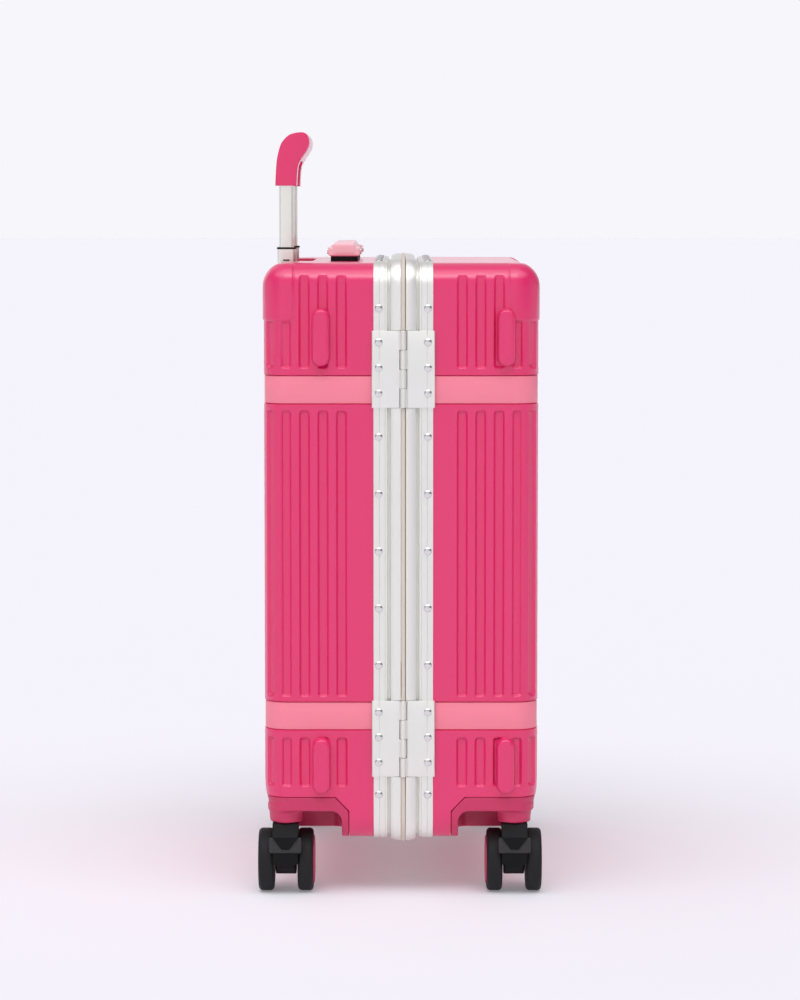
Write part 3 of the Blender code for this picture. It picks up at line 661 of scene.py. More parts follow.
def make_belts(half):
    """A soft band in each channel, rounded along both edges."""
    end = path_length(half) / 2 - FRAME_REACH - 0.0003
    corner = CASE_WIDTH / 2 - EDGE_RADIUS
    arc = EDGE_RADIUS * math.pi / 2
    bends = list(np.linspace(corner, corner + arc, 15))
    along = np.array(sorted([-end, end] + bends + [-bend for bend in bends]))
    for level, low in BELT_LOWS.items():
        high = low + BELT_HEIGHT
        edge = [(0.0019, GAP), (0.0011, GAP), (0.0008, 0.0005), (0.0006, 0.0010)]
        section = [(depth, low + lift) for depth, lift in edge]
        section += [(depth, high - lift) for depth, lift in edge[::-1]]
        x, y, normal_x, normal_y = on_path(half, along)
        rings = [[(a - nx * depth, b - ny * depth, z) for depth, z in section]
                 for a, b, nx, ny in zip(x, y, normal_x, normal_y)]
        belt = skin(f"{half}_belt_{level}_band", rings)
        place(belt, BODIES[half], "belt_pink", f"{half}_belt_{level}")


# ---------------------------------------------------------------- frame, seal and rivets

HINGE_LENGTH, HINGE_MIDDLES = 0.0648, {"lower": 0.1357, "upper": 0.4487}
HINGE_AXIS_OUT = 0.0046
RIVET_LINE, RIVET_PITCH = 0.0207, 0.0484
SCORE_LINE, FRAME_PROUD = 0.0202, 0.0010


def frame_section():
    """From the flange's outer edge over the bulge to the seam, and back inside."""
    flange = [(FRAME_REACH, -0.0003), (FRAME_REACH, 0.0007), (0.0249, FRAME_PROUD),
              (SCORE_LINE + 0.0003, FRAME_PROUD), (SCORE_LINE, 0.0006),
              (SCORE_LINE - 0.0003, FRAME_PROUD), (0.0156, FRAME_PROUD),
              (0.0153, 0.0007), (0.0152, 0.0003), (0.0137, 0.0003), (0.0135, 0.0001),
              (0.0131, -0.0014), (0.0126, -0.0022), (0.0120, -0.0025), (0.0114, -0.0022),
              (0.0109, -0.0014)]
    bulge = [(reach, 0.0034 - 36 * (reach - 0.0036) ** 2) for reach in np.linspace(0.0104, 0.0024, 9)]
    return flange + bulge + [(0.0020, 0.0030), (0.0020, -0.0029), (0.0142, -0.0029),
                             (0.0142, -0.0003)]


def case_rings(half, section):
    sign = HALVES[half][0]
    rings = []
    for reach, out in section:
        outline = rounded_rectangle(HINGE_FACE - out, LOCK_FACE + out, CASE_LOW - out,
                                    CASE_HIGH + out, CORNER_RADIUS + out, 14)
        rings.append([(x, SEAM + sign * reach, z) for x, z in outline])
    return rings


def hinge_lands():
    """Blocks that clear the frame down to its flange's height under the hinges."""
    half = HINGE_LENGTH / 2 + GAP
    return join("lands", [block("land", (HINGE_FACE - 0.02, SEAM - 0.024, middle - half),
                                (HINGE_FACE - FRAME_PROUD, SEAM + 0.024, middle + half))
                          for middle in HINGE_MIDDLES.values()])


def make_frame(half):
    frame = skin(f"{half}_frame_extrusion", case_rings(half, frame_section()), loop=True)
    carve(frame, hinge_lands())
    place(frame, BODIES[half], "frame_aluminium", f"{half}_frame")


def make_seal():
    section = mirrored([(0.0016, -0.0015), (0.0016, 0.0030), (0.0013, 0.0035), (0.0006, 0.0038)])
    seal = skin("frame_seal_strip", case_rings("back", section), loop=True)
    carve(seal, hinge_lands())
    place(seal, "back_case", "seal", "frame_seal")


def rivet(along, place_on, sign, out):
    """A domed head, `along` a row on one side of the case, with its foot `out` from it."""
    profile = [(-0.0004, 0.0034), (0.0002, 0.0034), (0.0006, 0.0031), (0.0010, 0.0025),
               (0.0013, 0.0016), (0.0014, 0.0006), (0.0014, TIP)]
    y = SEAM + sign * RIVET_LINE
    centre, axis, flip = {
        "hinge": ((HINGE_FACE - out, y, along), "X", -1), "lock": ((LOCK_FACE + out, y, along), "X", 1),
        "top": ((along, y, CASE_HIGH + out), "Z", 1), "bottom": ((along, y, CASE_LOW - out), "Z", -1),
    }[place_on]
    return lathe("rivet", [(height * flip, radius) for height, radius in profile], centre, axis,
                 20, loop=False)


def make_rivets(half):
    """Rows along the frame on all four sides, and three heads on each hinge leaf."""
    sign = HALVES[half][0]
    middle = (CASE_LOW + CASE_HIGH) / 2
    heads = []
    rows = [middle + (step - 2) * RIVET_PITCH + 0.0018 for step in range(5)]
    for z in rows + [middle - 0.2057, middle + 0.2067]:
        heads.append(rivet(z, "hinge", sign, FRAME_PROUD))
        heads.append(rivet(z, "lock", sign, FRAME_PROUD))
    for level in HINGE_MIDDLES.values():
        for step in (-1, 0, 1):
            heads.append(rivet(level + 0.0012 + step * 0.0215, "hinge", sign, 0.0036))
            if step:
                heads.append(rivet(level + step * 0.0300, "lock", sign, FRAME_PROUD))
    for step in range(-3, 4):
        for where in ("top", "bottom"):
            heads.append(rivet(CASE_X + step * RIVET_PITCH, where, sign, FRAME_PROUD))
    place(join(f"{half}_rivets", heads), BODIES[half], "steel")


# ---------------------------------------------------------------- hinges

LEAF_INNER, LEAF_OUTER, LEAF_LOW, LEAF_TOP = 0.0030, 0.0266, 0.0013, 0.0036
KNUCKLE_RADIUS, KNUCKLE_GAP, KNUCKLE_BORE, PIN_RADIUS = 0.0025, 0.0004, 0.0013, 0.0011
KNUCKLES = 4


def across(reaches, sign, face, out_sign):
    """Points of (distance from the seam, height over a side face), in plan."""
    return [(face + out_sign * out, SEAM + sign * reach) for reach, out in reaches]


def barrel_profile(low, high, radius, bore, along, lost):
    """A hollow turned barrel with its outer edges broken."""
    return [(low, bore), (low, radius - lost), (low + along, radius),
            (high - along, radius), (high, radius - lost), (high, bore)]


def make_hinge(half, level):
    """A bevelled leaf that repeats the frame's score line, with every second knuckle."""
    sign = HALVES[half][0]
    low = HINGE_MIDDLES[level] - HINGE_LENGTH / 2
    section = [(LEAF_INNER, LEAF_LOW), (LEAF_OUTER, LEAF_LOW), (LEAF_OUTER, LEAF_TOP - 0.0006),
               (LEAF_OUTER - 0.0006, LEAF_TOP), (SCORE_LINE + 0.0003, LEAF_TOP),
               (SCORE_LINE, LEAF_TOP - 0.0004), (SCORE_LINE - 0.0003, LEAF_TOP),
               (LEAF_INNER + 0.0004, LEAF_TOP), (LEAF_INNER, LEAF_TOP - 0.0004)]
    plate = prism("leaf", across(section, sign, HINGE_FACE, -1), "Z", low, low + HINGE_LENGTH)
    bevel(plate, 0.0005, 2, 60)
    parts = [plate]
    pitch = HINGE_LENGTH / KNUCKLES
    centre = (HINGE_FACE - HINGE_AXIS_OUT, SEAM, 0.0)
    for index in range(1 if half == "back" else 0, KNUCKLES, 2):
        foot, head = low + index * pitch + KNUCKLE_GAP / 2, low + (index + 1) * pitch - KNUCKLE_GAP / 2
        profile = barrel_profile(foot, head, KNUCKLE_RADIUS, KNUCKLE_BORE, 0.0003, 0.0003)
        parts.append(lathe("knuckle", profile, centre, "Z", 28))
        strap = [(0.0018, 0.0025), (LEAF_INNER + 0.0012, 0.0025),
                 (LEAF_INNER + 0.0012, LEAF_TOP - 0.0001), (0.0018, LEAF_TOP + 0.0013)]
        parts.append(prism("strap", across(strap, sign, HINGE_FACE, -1), "Z", foot, head))
    name = f"hinge_leaf_{half}_{level}"
    place(join(f"{name}_plate", parts), BODIES[half], "frame_aluminium", name)


def make_hinge_pin(level):
    centre = (HINGE_FACE - HINGE_AXIS_OUT, SEAM, HINGE_MIDDLES[level])
    pin = rod(f"hinge_pin_{level}_rod", centre, "Z", -HINGE_LENGTH / 2, HINGE_LENGTH / 2,
              PIN_RADIUS, 20, (0.0003, 0.0002))
    place(pin, "back_case", "steel", f"hinge_pin_{level}")


# ---------------------------------------------------------------- casters

WHEEL_RADIUS, WHEEL_WIDTH, WHEEL_INNER = 0.02675, 0.0135, 0.0100
TRAIL, AXLE_RADIUS, HUB_RADIUS = 0.012, 0.0030, 0.0206
CHEEK = ((-0.0150, 0.0502), (-0.0155, 0.0340), (-0.0060, 0.0226), (0.0060, 0.0150),
         (0.0170, 0.0160), (0.0215, 0.0250), (0.0200, 0.0380), (0.0085, 0.0545),
         (-0.0085, 0.0545))


def convex(u, v, outline):
    """Distance from a convex outline, given anticlockwise, less than 0 inside it."""
    sides = []
    for (u1, v1), (u2, v2) in zip(outline, outline[1:] + outline[:1]):
        length = math.hypot(u2 - u1, v2 - v1)
        sides.append(((u - u1) * (v2 - v1) - (v - v1) * (u2 - u1)) / length)
    return np.maximum.reduce(sides)


def fork_field(x, y, z):
    """Stem, V-shaped wedge, body and cheeks, round the swivel axis."""
    across_it = np.abs(y)
    stem = meet(column(x, y, (0, 0), 0.0110), slab(z, 0.0540, BOSS_LOW - GAP), soft=0.0006)
    taper = (across_it - 0.0111 + 0.70 * np.clip(0.0512 - z, 0, None)) * 0.82
    front = -x - 0.0112 - 0.80 * np.clip(BOSS_LOW - z, 0, 0.0112)
    wedge = meet(taper, front, x, slab(z, 0.0402, BOSS_LOW - GAP), soft=0.0008)
    body = rounded_box(x, across_it, z, (-0.0176, -0.02, 0.0269), (-0.0151, 0.0109, 0.0480), 0.0009)
    chin = rounded_box(x, across_it, z, (-0.0172, -0.02, 0.0228), (-0.0120, 0.0076, 0.0480), 0.0012)
    cheek = meet(convex(x, z, CHEEK), across_it - 0.0089, soft=0.0012)
    whole = add(add(body, chin, cheek, soft=0.0006), stem, soft=0.0012)
    bore = np.hypot(x - TRAIL, z - WHEEL_RADIUS) - AXLE_RADIUS - 0.0002
    return cut(add(whole, wedge, soft=0.0004), bore, soft=0.0003)


def fender_field(x, y, z):
    """The plate across the front of the fork, under the stem's wedge, in a lighter black that is painted
    highlight for its upward-leaning face.
    """
    plate = rounded_box(x, np.abs(y), z, (-0.0188, -0.02, 0.0368), (-0.0151, 0.0137, 0.0503), 0.0016)
    lean = (-x - 0.0188) * 0.96 + (z - 0.0440) * 0.28
    return meet(plate, lean, soft=0.0010)


def make_caster(half, side):
    x, y = caster_axis(half, side)
    name = f"caster_{half}_{side}"
    fender = sculpt(f"{name}_fender", fender_field, (-0.0190, -0.0140, 0.0366),
                    (-0.0149, 0.0140, 0.0505), 0.0006)
    fork = sculpt(f"{name}_fork_body", fork_field, (-0.0215, -0.0145, 0.0140),
                  (0.0225, 0.0145, BOSS_LOW), 0.0006)
    for thing in (fender, fork):
        thing.data.transform(Matrix.Translation((x, y, 0.0)))
    # The plate's lighter black is painted highlight.
    place(fender, name, "painted_highlight_black")
    place(fork, name, "black_plastic", f"{name}_fork")

    axle_x, reach = x + TRAIL, WHEEL_INNER + WHEEL_WIDTH - 0.0012
    axle = rod(f"{name}_axle_rod", (axle_x, y, WHEEL_RADIUS), "Y", -reach, reach, AXLE_RADIUS, 32,
               (0.0005, 0.0006))
    place(axle, name, "steel", f"{name}_axle")
    for which, sign, disc_rise in (("outer", 1, -0.0003), ("inner", -1, 0.0011)):
        make_wheel(name.replace("caster", "wheel") + f"_{which}", (axle_x, y),
                   sign * HALVES[half][0], disc_rise)


def make_wheel(name, axis, outward, disc_rise):
    """A tyre with rounded shoulders and grooved flanks, and a coloured disc on its outside."""
    half_width = WHEEL_WIDTH / 2
    centre = (axis[0], axis[1] + outward * (WHEEL_INNER + half_width), WHEEL_RADIUS)
    flank = [(half_width - 0.0012, HUB_RADIUS - 0.0030), (half_width, HUB_RADIUS + 0.0010),
             (half_width, WHEEL_RADIUS - 0.0036)]
    shoulder = []
    for step in range(1, 8):
        turn = step / 7 * math.pi / 2
        shoulder.append((half_width - 0.0034 * (1 - math.cos(turn)),
                         WHEEL_RADIUS - 0.0036 * (1 - math.sin(turn))))
    outside = [(half_width - 0.0012, AXLE_RADIUS + 0.0004)] + flank + shoulder
    tyre = lathe(f"{name}_tyre", mirrored(outside), centre, "Y", 96)
    place(tyre, name, "tyre", name)

    rim, bowl = half_width + disc_rise, half_width - 0.0008
    disc = [(half_width - 0.0016, AXLE_RADIUS + 0.0005), (bowl, AXLE_RADIUS + 0.0005),
            (bowl, AXLE_RADIUS + 0.0028), (bowl + 0.0004, AXLE_RADIUS + 0.0034),
            (rim - 0.0003, HUB_RADIUS - 0.0040), (rim, HUB_RADIUS - 0.0030),
            (rim, HUB_RADIUS - 0.0010), (rim - 0.0004, HUB_RADIUS - 0.0002),
            (rim - 0.0010, HUB_RADIUS), (half_width - 0.0016, HUB_RADIUS - 0.0020)]
    disc = [(along * outward, radius) for along, radius in disc]
    place(lathe(f"{name}_disc", disc, centre, "Y", 72), name, "housing_pink")


# ---------------------------------------------------------------- telescopic handle

TUBE_X, TUBE_Y, TUBE_WALL = 0.052, 0.0992, 0.0012
MIDDLE_TUBE, INNER_TUBE = (0.0220, 0.0159), (0.0188, 0.0127)
MIDDLE_TOP, MIDDLE_LENGTH, INNER_LENGTH = 0.5480, 0.4200, 0.421
GRIP_LOW, GRIP_HALF, SOCKET_DEPTH = 0.603, 0.066, 0.012
CUP_WALL, CUP_BACK = 0.004, 0.1124
# The grip's side view: distance towards the front from the tubes' middle, and height
GRIP_SECTION = ((-0.0094, 0.0), (-0.0088, 0.0130), (-0.0078, 0.0235), (-0.0054, 0.0335),
                (-0.0027, 0.0388), (0.0030, 0.0442), (0.0105, 0.0462), (0.0158, 0.0460),
                (0.0188, 0.0436), (0.0201, 0.0392), (0.0197, 0.0341), (0.0170, 0.0289),
                (0.0134, 0.0237), (0.0108, 0.0184), (0.0097, 0.0115), (0.0091, 0.0))
BUTTON_U, BUTTON_TOP, BUTTON_SIZE = 0.0080, 0.0452, (0.030, 0.009)


def tube_outline(size, x, grow=0.0, radius=0.0026):
    return oblong(x, TUBE_Y, size[0] / 2 + grow, size[1] / 2 + grow, radius, 5)


def tube(name, size, x, low, high):
    """A drawn tube with its ends slightly broken."""
    outer, inner = tube_outline(size, x), tube_outline(size, x, -TUBE_WALL, 0.0016)
    edge = tube_outline(size, x, -0.0002, 0.0024)
    levels = [(edge, low), (outer, low + 0.0002), (outer, high - 0.0002), (edge, high),
              (inner, high), (inner, low)]
    return stack(name, levels, loop=True)


def make_tubes():
    for side, sign in SIDES.items():
        x = CASE_X + sign * TUBE_X
        middle = tube("middle", MIDDLE_TUBE, x, MIDDLE_TOP - MIDDLE_LENGTH, MIDDLE_TOP)
        slot_low = MIDDLE_TOP - 0.0104
        carve(middle, block("slot", (x - 0.03, TUBE_Y - 0.0028, slot_low),
                            (x, TUBE_Y + 0.0028, slot_low + 0.0013)))
        middle.name = f"middle_tube_{side}_drawn"
        place(middle, "handle_middle_stage", "tube_aluminium", f"middle_tube_{side}")
        inner_slot = tube_outline(INNER_TUBE, x, GAP)
        outer = tube_outline(MIDDLE_TUBE, x, 0.0004)
        cap_top = MIDDLE_TOP + 0.0015
        cap = stack("cap", [(outer, MIDDLE_TOP), (outer, cap_top - 0.0004),
                            (tube_outline(MIDDLE_TUBE, x), cap_top), (inner_slot, cap_top),
                            (inner_slot, MIDDLE_TOP)], loop=True)
        face = x - MIDDLE_TUBE[0] / 2
        catch = block("catch", (face + 0.0002, TUBE_Y - 0.0027, slot_low + 0.0001),
                      (face + 0.0011, TUBE_Y + 0.0027, slot_low + 0.0012))
        place(join(f"tube_cap_{side}", [cap, catch]), "handle_middle_stage", "black_plastic")

        top = GRIP_LOW + SOCKET_DEPTH - 0.001
        inner = tube("inner", INNER_TUBE, x, top - INNER_LENGTH, top)
        front = TUBE_Y - INNER_TUBE[1] / 2
        for z in (0.5745, 0.5829):
            carve(inner, rod("hole", (x, 0.0, z), "Y", front - 0.003, front + 0.003, 0.0013, 20))
        inner.name = f"inner_tube_{side}_drawn"
        place(inner, "handle_grip_stage", "tube_aluminium", f"inner_tube_{side}")


def smoothed(points, steps=5):
    """A rounder outline through the same points, open between its first and last."""
    padded = np.array([points[0], *points, points[-1]])
    share = np.arange(steps)[:, None] / steps
    weights = (-0.5 * share + share ** 2 - 0.5 * share ** 3,
               1 - 2.5 * share ** 2 + 1.5 * share ** 3,
               0.5 * share + 2 * share ** 2 - 1.5 * share ** 3,
               -0.5 * share ** 2 + 0.5 * share ** 3)
    result = []
    for four in zip(padded, padded[1:], padded[2:], padded[3:]):
        result += sum(weight * point for weight, point in zip(weights, four)).tolist()
    return result + [points[-1]]


def make_grip():
    outline = [(TUBE_Y - u, GRIP_LOW + w) for u, w in smoothed(GRIP_SECTION)]
    grip = prism("grip_body", outline, "X", CASE_X - GRIP_HALF, CASE_X + GRIP_HALF)
    gap = rounded_rectangle(CASE_X - 0.038, CASE_X + 0.038, GRIP_LOW - 0.03, GRIP_LOW + 0.0220,
                            0.008, 6)
    carve(grip, prism("gap", gap, "Y", TUBE_Y - 0.04, TUBE_Y + 0.04))
    bevel(grip, 0.0012, 3, 40)
    for sign in SIDES.values():
        socket = tube_outline(INNER_TUBE, CASE_X + sign * TUBE_X, 0.0003)
        carve(grip, prism("socket", socket, "Z", GRIP_LOW - 0.01, GRIP_LOW + SOCKET_DEPTH))
    y, top = TUBE_Y - BUTTON_U, GRIP_LOW + BUTTON_TOP
    half_x, half_y = BUTTON_SIZE[0] / 2, BUTTON_SIZE[1] / 2
    well = oblong(CASE_X, y, half_x + GAP, half_y + GAP, half_y)
    carve(grip, prism("well", well, "Z", top - 0.0088, top + 0.01))
    place(grip, "handle_grip_stage", "shell_pink", "grip")
    levels = [(oblong(CASE_X, y, half_x - inset, half_y - inset, half_y - inset - 0.0001, 10), top + rise)
              for inset, rise in ((0.0002, -0.0060), (0.0, -0.0058), (0.0, -0.0008),
                                  (0.0003, -0.0002), (0.0010, 0.0), (0.0030, 0.0002))]
    place(stack("grip_button_cap", levels), "grip_button", "housing_pink", "grip_button")


def make_cup():
    """The sunk tray round the tubes, rounded over with the case's top edge."""
    def field(x, y, z):
        from_face, from_top = BACK_FACE - y, CASE_HIGH - z
        form = rounded((CORNER_RADIUS - from_face, CORNER_RADIUS - from_top), CORNER_RADIUS)
        u = np.abs(x - CASE_X)
        outer = np.maximum.reduce([u - CUP_HALF + 0.0002, CUP_FRONT + 0.0002 - y,
                                   CUP_FLOOR - CUP_WALL + 0.0002 - z])
        pocket = rounded_box(u, y, z, (-0.2, CUP_FRONT + CUP_WALL, CUP_FLOOR),
                             (CUP_HALF - CUP_WALL, CUP_BACK, CASE_HIGH + 0.05), 0.004)
        hole = rounded_box(np.abs(u - TUBE_X), np.abs(y - TUBE_Y), z, (-0.1, -0.1, 0.0),
                           (MIDDLE_TUBE[0] / 2 + 0.0004, MIDDLE_TUBE[1] / 2 + 0.0004, 1.0), 0.0026)
        return cut(cut(meet(form, outer, soft=0.0002), pocket, soft=0.0008), hole, soft=0.0002)
    low = (CASE_X - CUP_HALF, CUP_FRONT, CUP_FLOOR - CUP_WALL)
    cup = sculpt("handle_cup_tray", field, low, (CASE_X + CUP_HALF, BACK_FACE, CASE_HIGH), 0.0009)
    place(cup, "back_case", "shell_pink", "handle_cup")


# ---------------------------------------------------------------- carry handles

CARRY_Y, CARRY_HALF, CARRY_LEG = 0.0482, 0.090, 0.078
BASE_HALF = 0.0118             # half the width of the plate under a handle


def carry_field(x, y, z):
    """The bar: an arched dome between two pivots with square ears; legs go down into the case."""
    along, across_it = np.abs(x), np.abs(y)
    dome = rounded_box(along, across_it, z, (-0.2, -0.1, 0.0043), (CARRY_HALF, 0.0112, 0.0166), 0.0034)
    lean = (across_it - 0.0102) * 0.88 + (z - 0.0130) * 0.47
    dome = meet(dome, lean, soft=0.0016)
    ear = rounded_box(along, across_it, z, (-0.2, -0.1, 0.0052), (CARRY_HALF - 0.0006, 0.0142, 0.0126),
                      0.0024)
    ear = meet(ear, 0.062 - along, soft=0.0010)
    skirt = rounded_box(along, across_it, z, (-0.2, -0.1, 0.0043), (CARRY_HALF - 0.0004, 0.0134, 0.0072),
                        0.0014)
    ear = add(ear, skirt, soft=0.0008)
    arch = rounded_box(along, across_it, z, (-0.2, -0.1, -0.1), (0.064, 0.1, 0.0085), 0.004)
    bar = cut(add(dome, ear, soft=0.0005), arch, soft=0.0015)
    leg = rounded_box(np.abs(along - CARRY_LEG), across_it, z, (-0.1, -0.1, -0.0170),
                      (0.0060, 0.0050, 0.0100), 0.0008)
    return add(bar, leg, soft=0.0006)


def make_carry_handle(where, origin, turn):
    matrix = Matrix.Translation(Vector(origin)) @ Matrix.Rotation(turn, 4, "Y")
    handle = sculpt(f"{where}_handle_bar", carry_field, (-CARRY_HALF, -0.0155, -0.0170),
                    (CARRY_HALF, 0.0155, 0.0190), 0.00085)
    plate = oblong(0.0, 0.0, 0.088, BASE_HALF, 0.003, 6)
    base = prism(f"{where}_handle_plate", plate, "Z", GAP, 0.0022)
    for sign in SIDES.values():
        end = oblong(sign * 0.077, 0.0, 0.011, BASE_HALF, 0.003, 6)
        carve(base, prism("end", end, "Z", 0.0004, 0.0040), "UNION")
    for sign in SIDES.values():
        x = sign * CARRY_LEG
        carve(base, block("hole", (x - 0.0064, -0.0054, -0.01), (x + 0.0064, 0.0054, 0.01)))
    bevel(base, 0.0005, 2, 50)
    screws = []
    profile = ((0.0132, 0.0028), (0.0146, 0.0028), (0.0149, 0.0024), (0.0149, 0.0012),
               (0.0144, 0.0011), (0.0144, TIP))
    for sign_x in SIDES.values():
        centre = (sign_x * (CARRY_HALF - 0.0065), 0.0, 0.0088)
        for sign_y in (-1, 1):
            turned = [(along * sign_y, radius) for along, radius in profile]
            screws.append(lathe("screw", turned, centre, "Y", 24, loop=False))
    screws = join(f"{where}_handle_screws", screws)
    for thing in (handle, base, screws):
        thing.data.transform(matrix)
    place(handle, f"{where}_handle", "handle_pink", f"{where}_handle")
    place(screws, f"{where}_handle", "steel")
    place(base, "back_case", "black_plastic", f"{where}_handle_base")


# ---------------------------------------------------------------- latches and lock

LATCH_LENGTH, LATCH_PIVOT = 0.044, (-0.0190, 0.0066)
PLATE_LOW, PLATE_TOP = 0.0013, 0.0026
FLANGE_NEAR, FLANGE_FAR = 0.0156, 0.0245       # the frame's flange, from the seam
LOCK_Z = (CASE_LOW + CASE_HIGH) / 2
DIAL_RADIUS, DIAL_OUT, DIAL_PITCH, LOCK_FROM_SEAM = 0.0052, 0.0070, 0.0085, 0.0150


def on_lock_side(points):
    return across(points, 1, LOCK_FACE, 1)


def lock_prism(name, points, low, high):
    return prism(name, on_lock_side(points), "Z", low, high)


def make_latch(level):
    middle = HINGE_MIDDLES[level]
    low, high = middle - LATCH_LENGTH / 2, middle + LATCH_LENGTH / 2
    pivot = on_lock_side([LATCH_PIVOT])[0]
    plate = [(-0.0250, PLATE_LOW), (-FLANGE_NEAR, PLATE_LOW), (-FLANGE_NEAR, PLATE_TOP),
             (-0.0250, PLATE_TOP)]
    parts = [bevel(lock_prism("plate", plate, low, high), 0.0004)]
    ear = [(-FLANGE_FAR, 0.0020), (-FLANGE_NEAR, 0.0020), (-FLANGE_NEAR, 0.0084), (-0.0166, 0.0098),
           (-0.0182, 0.0104), (-0.0212, 0.0104), (-0.0232, 0.0096), (-FLANGE_FAR, 0.0080)]
    for z in (low, high - 0.004):
        parts.append(bevel(lock_prism("ear", ear, z, z + 0.004), 0.0005))
    parts.append(rod("rod", (*pivot, 0.0), "Z", low + 0.001, high - 0.001, 0.0018, 24))
    name = f"latch_base_{level}"
    place(join(f"{name}_body", parts), "front_case", "frame_aluminium", name)

    catch = [(0.0157, PLATE_LOW), (FLANGE_FAR, PLATE_LOW), (FLANGE_FAR, PLATE_TOP), (0.0205, 0.0030),
             (0.0200, 0.0085), (0.0172, 0.0085), (0.0172, PLATE_TOP), (0.0157, PLATE_TOP)]
    name = f"latch_keeper_{level}"
    keeper = lock_prism(f"{name}_hook", catch, middle - 0.015, middle + 0.015)
    place(bevel(keeper, 0.0004), "back_case", "frame_aluminium", name)

    foot, head = low + 0.0045, high - 0.0045
    leaf = [(-0.0190, 0.0070), (0.0140, 0.0070), (0.0145, 0.0040), (0.0162, 0.0042),
            (0.0162, 0.0085), (0.0147, 0.0100), (-0.0190, 0.0100)]
    leaf = lock_prism("leaf", leaf, foot, head)
    window = rounded_rectangle(SEAM - 0.0048, SEAM + 0.0064, middle - 0.0083, middle + 0.0083,
                               0.0015, 4)
    carve(leaf, prism("window", window, "X", LOCK_FACE, LOCK_FACE + 0.02))
    bevel(leaf, 0.0005)
    profile = barrel_profile(foot, head, 0.0034, 0.0022, 0.0004, 0.0004)
    barrel = lathe("barrel", profile, (*pivot, 0.0), "Z", 32)
    name = f"latch_flap_{level}"
    place(join(f"{name}_body", [leaf, barrel]), name, "frame_aluminium", name)

    levels = [(oblong(SEAM + 0.0008, middle, 0.0053 - inset, 0.0080 - inset, 0.0013, 4), LOCK_FACE + out)
              for out, inset in ((0.0070, 0.0), (0.0104, 0.0), (0.0109, 0.0002), (0.0111, 0.0007))]
    name = f"latch_button_{level}"
    place(stack(f"{name}_cap", levels, "X"), name, "steel", name)


def numeral(digit, x, y, z, turn):
    """One raised figure on a dial's rim, read with the dial's axis upright."""
    curve = bpy.data.curves.new("numeral", "FONT")
    curve.body = str(digit)
    curve.size = 0.0036
    curve.extrude = 0.0001
    curve.align_x = "CENTER"
    curve.align_y = "CENTER"
    curve.resolution_u = 3
    thing = linked("numeral", curve)
    mesh = bpy.data.meshes.new_from_object(thing)
    bpy.data.objects.remove(thing, do_unlink=True)
    upright = Matrix.Rotation(math.pi / 2, 4, "X")
    out = Matrix.Translation((0.0, -DIAL_RADIUS - 0.00005, 0.0))
    mesh.transform(Matrix.Translation((x, y, z)) @ Matrix.Rotation(turn, 4, "Z") @ out @ upright)
    return linked("numeral", mesh)


def make_lock():
    """A case with three dials that show through its slots, each with the ten figures."""
    x, y = on_lock_side([(-LOCK_FROM_SEAM, DIAL_OUT)])[0]
    case = [(-FLANGE_FAR, PLATE_LOW), (-FLANGE_NEAR, PLATE_LOW), (-FLANGE_NEAR, 0.0042),
            (-0.0060, 0.0042), (-0.0060, 0.0095), (-0.0075, 0.0110), (-0.0230, 0.0110),
            (-FLANGE_FAR, 0.0095)]
    case = bevel(lock_prism("lock_body", case, LOCK_Z - 0.024, LOCK_Z + 0.024), 0.0008, 3)
    for number in range(3):
        z = LOCK_Z + (number - 1) * DIAL_PITCH
        carve(case, rod("slot", (x, y, z), "Z", -0.0025, 0.0025, DIAL_RADIUS + 0.0007, 48))
        name = f"lock_dial_{number + 1}"
        rings = []
        for height, lost in ((-0.0021, 0.0006), (-0.0016, 0.0), (0.0016, 0.0), (0.0021, 0.0006)):
            ring = []
            for step in range(80):
                turn = 2 * math.pi * step / 80
                notch = 0.00035 if step % 8 in (0, 1) else 0.0
                radius = DIAL_RADIUS - lost - notch
                ring.append((x + radius * math.cos(turn), y + radius * math.sin(turn), z + height))
            rings.append(ring)
        place(skin(f"{name}_ring", rings), name, "steel", name)
        turns = [2 * math.pi * (digit + 2.5) / 10 + math.pi / 40 for digit in range(10)]
        figures = [numeral(digit, x, y, z, turn) for digit, turn in enumerate(turns)]
        place(join(f"{name}_figures", figures), name, "black_plastic")
    place(case, "front_case", "black_plastic", "lock_case")


# ---------------------------------------------------------------- camera and light

CAMERA_DISTANCE, CAMERA_HEIGHT = 3.0, 0.5866
FOCAL_PIXELS, CAMERA_PITCH = 3570.0, math.radians(4.73)
IMAGE_HEIGHT, SENSOR_HEIGHT = 1000, 36.0
FLOOR_GREY, FLOOR_GLOW = 0.75, 0.17
FRONT_WALL, BACK_WALL, CEILING, SOFT_LIGHT, CORE_LIGHT = 0.80, 0.93, 0.60, 1.8, 2.4
PALE = (1.0, 0.992, 1.038)


def make_camera():
    camera = linked("camera", bpy.data.cameras.new("camera"))
    bpy.context.scene.camera = camera
    camera.location = (HINGE_FACE - CAMERA_DISTANCE, 0.0, CAMERA_HEIGHT)
    camera.rotation_euler = (math.pi / 2 - CAMERA_PITCH, 0.0, -math.pi / 2)
    camera.data.sensor_fit = "VERTICAL"
    camera.data.sensor_height = SENSOR_HEIGHT
    camera.data.lens = SENSOR_HEIGHT * FOCAL_PIXELS / IMAGE_HEIGHT
    camera.data.clip_end = 200.0


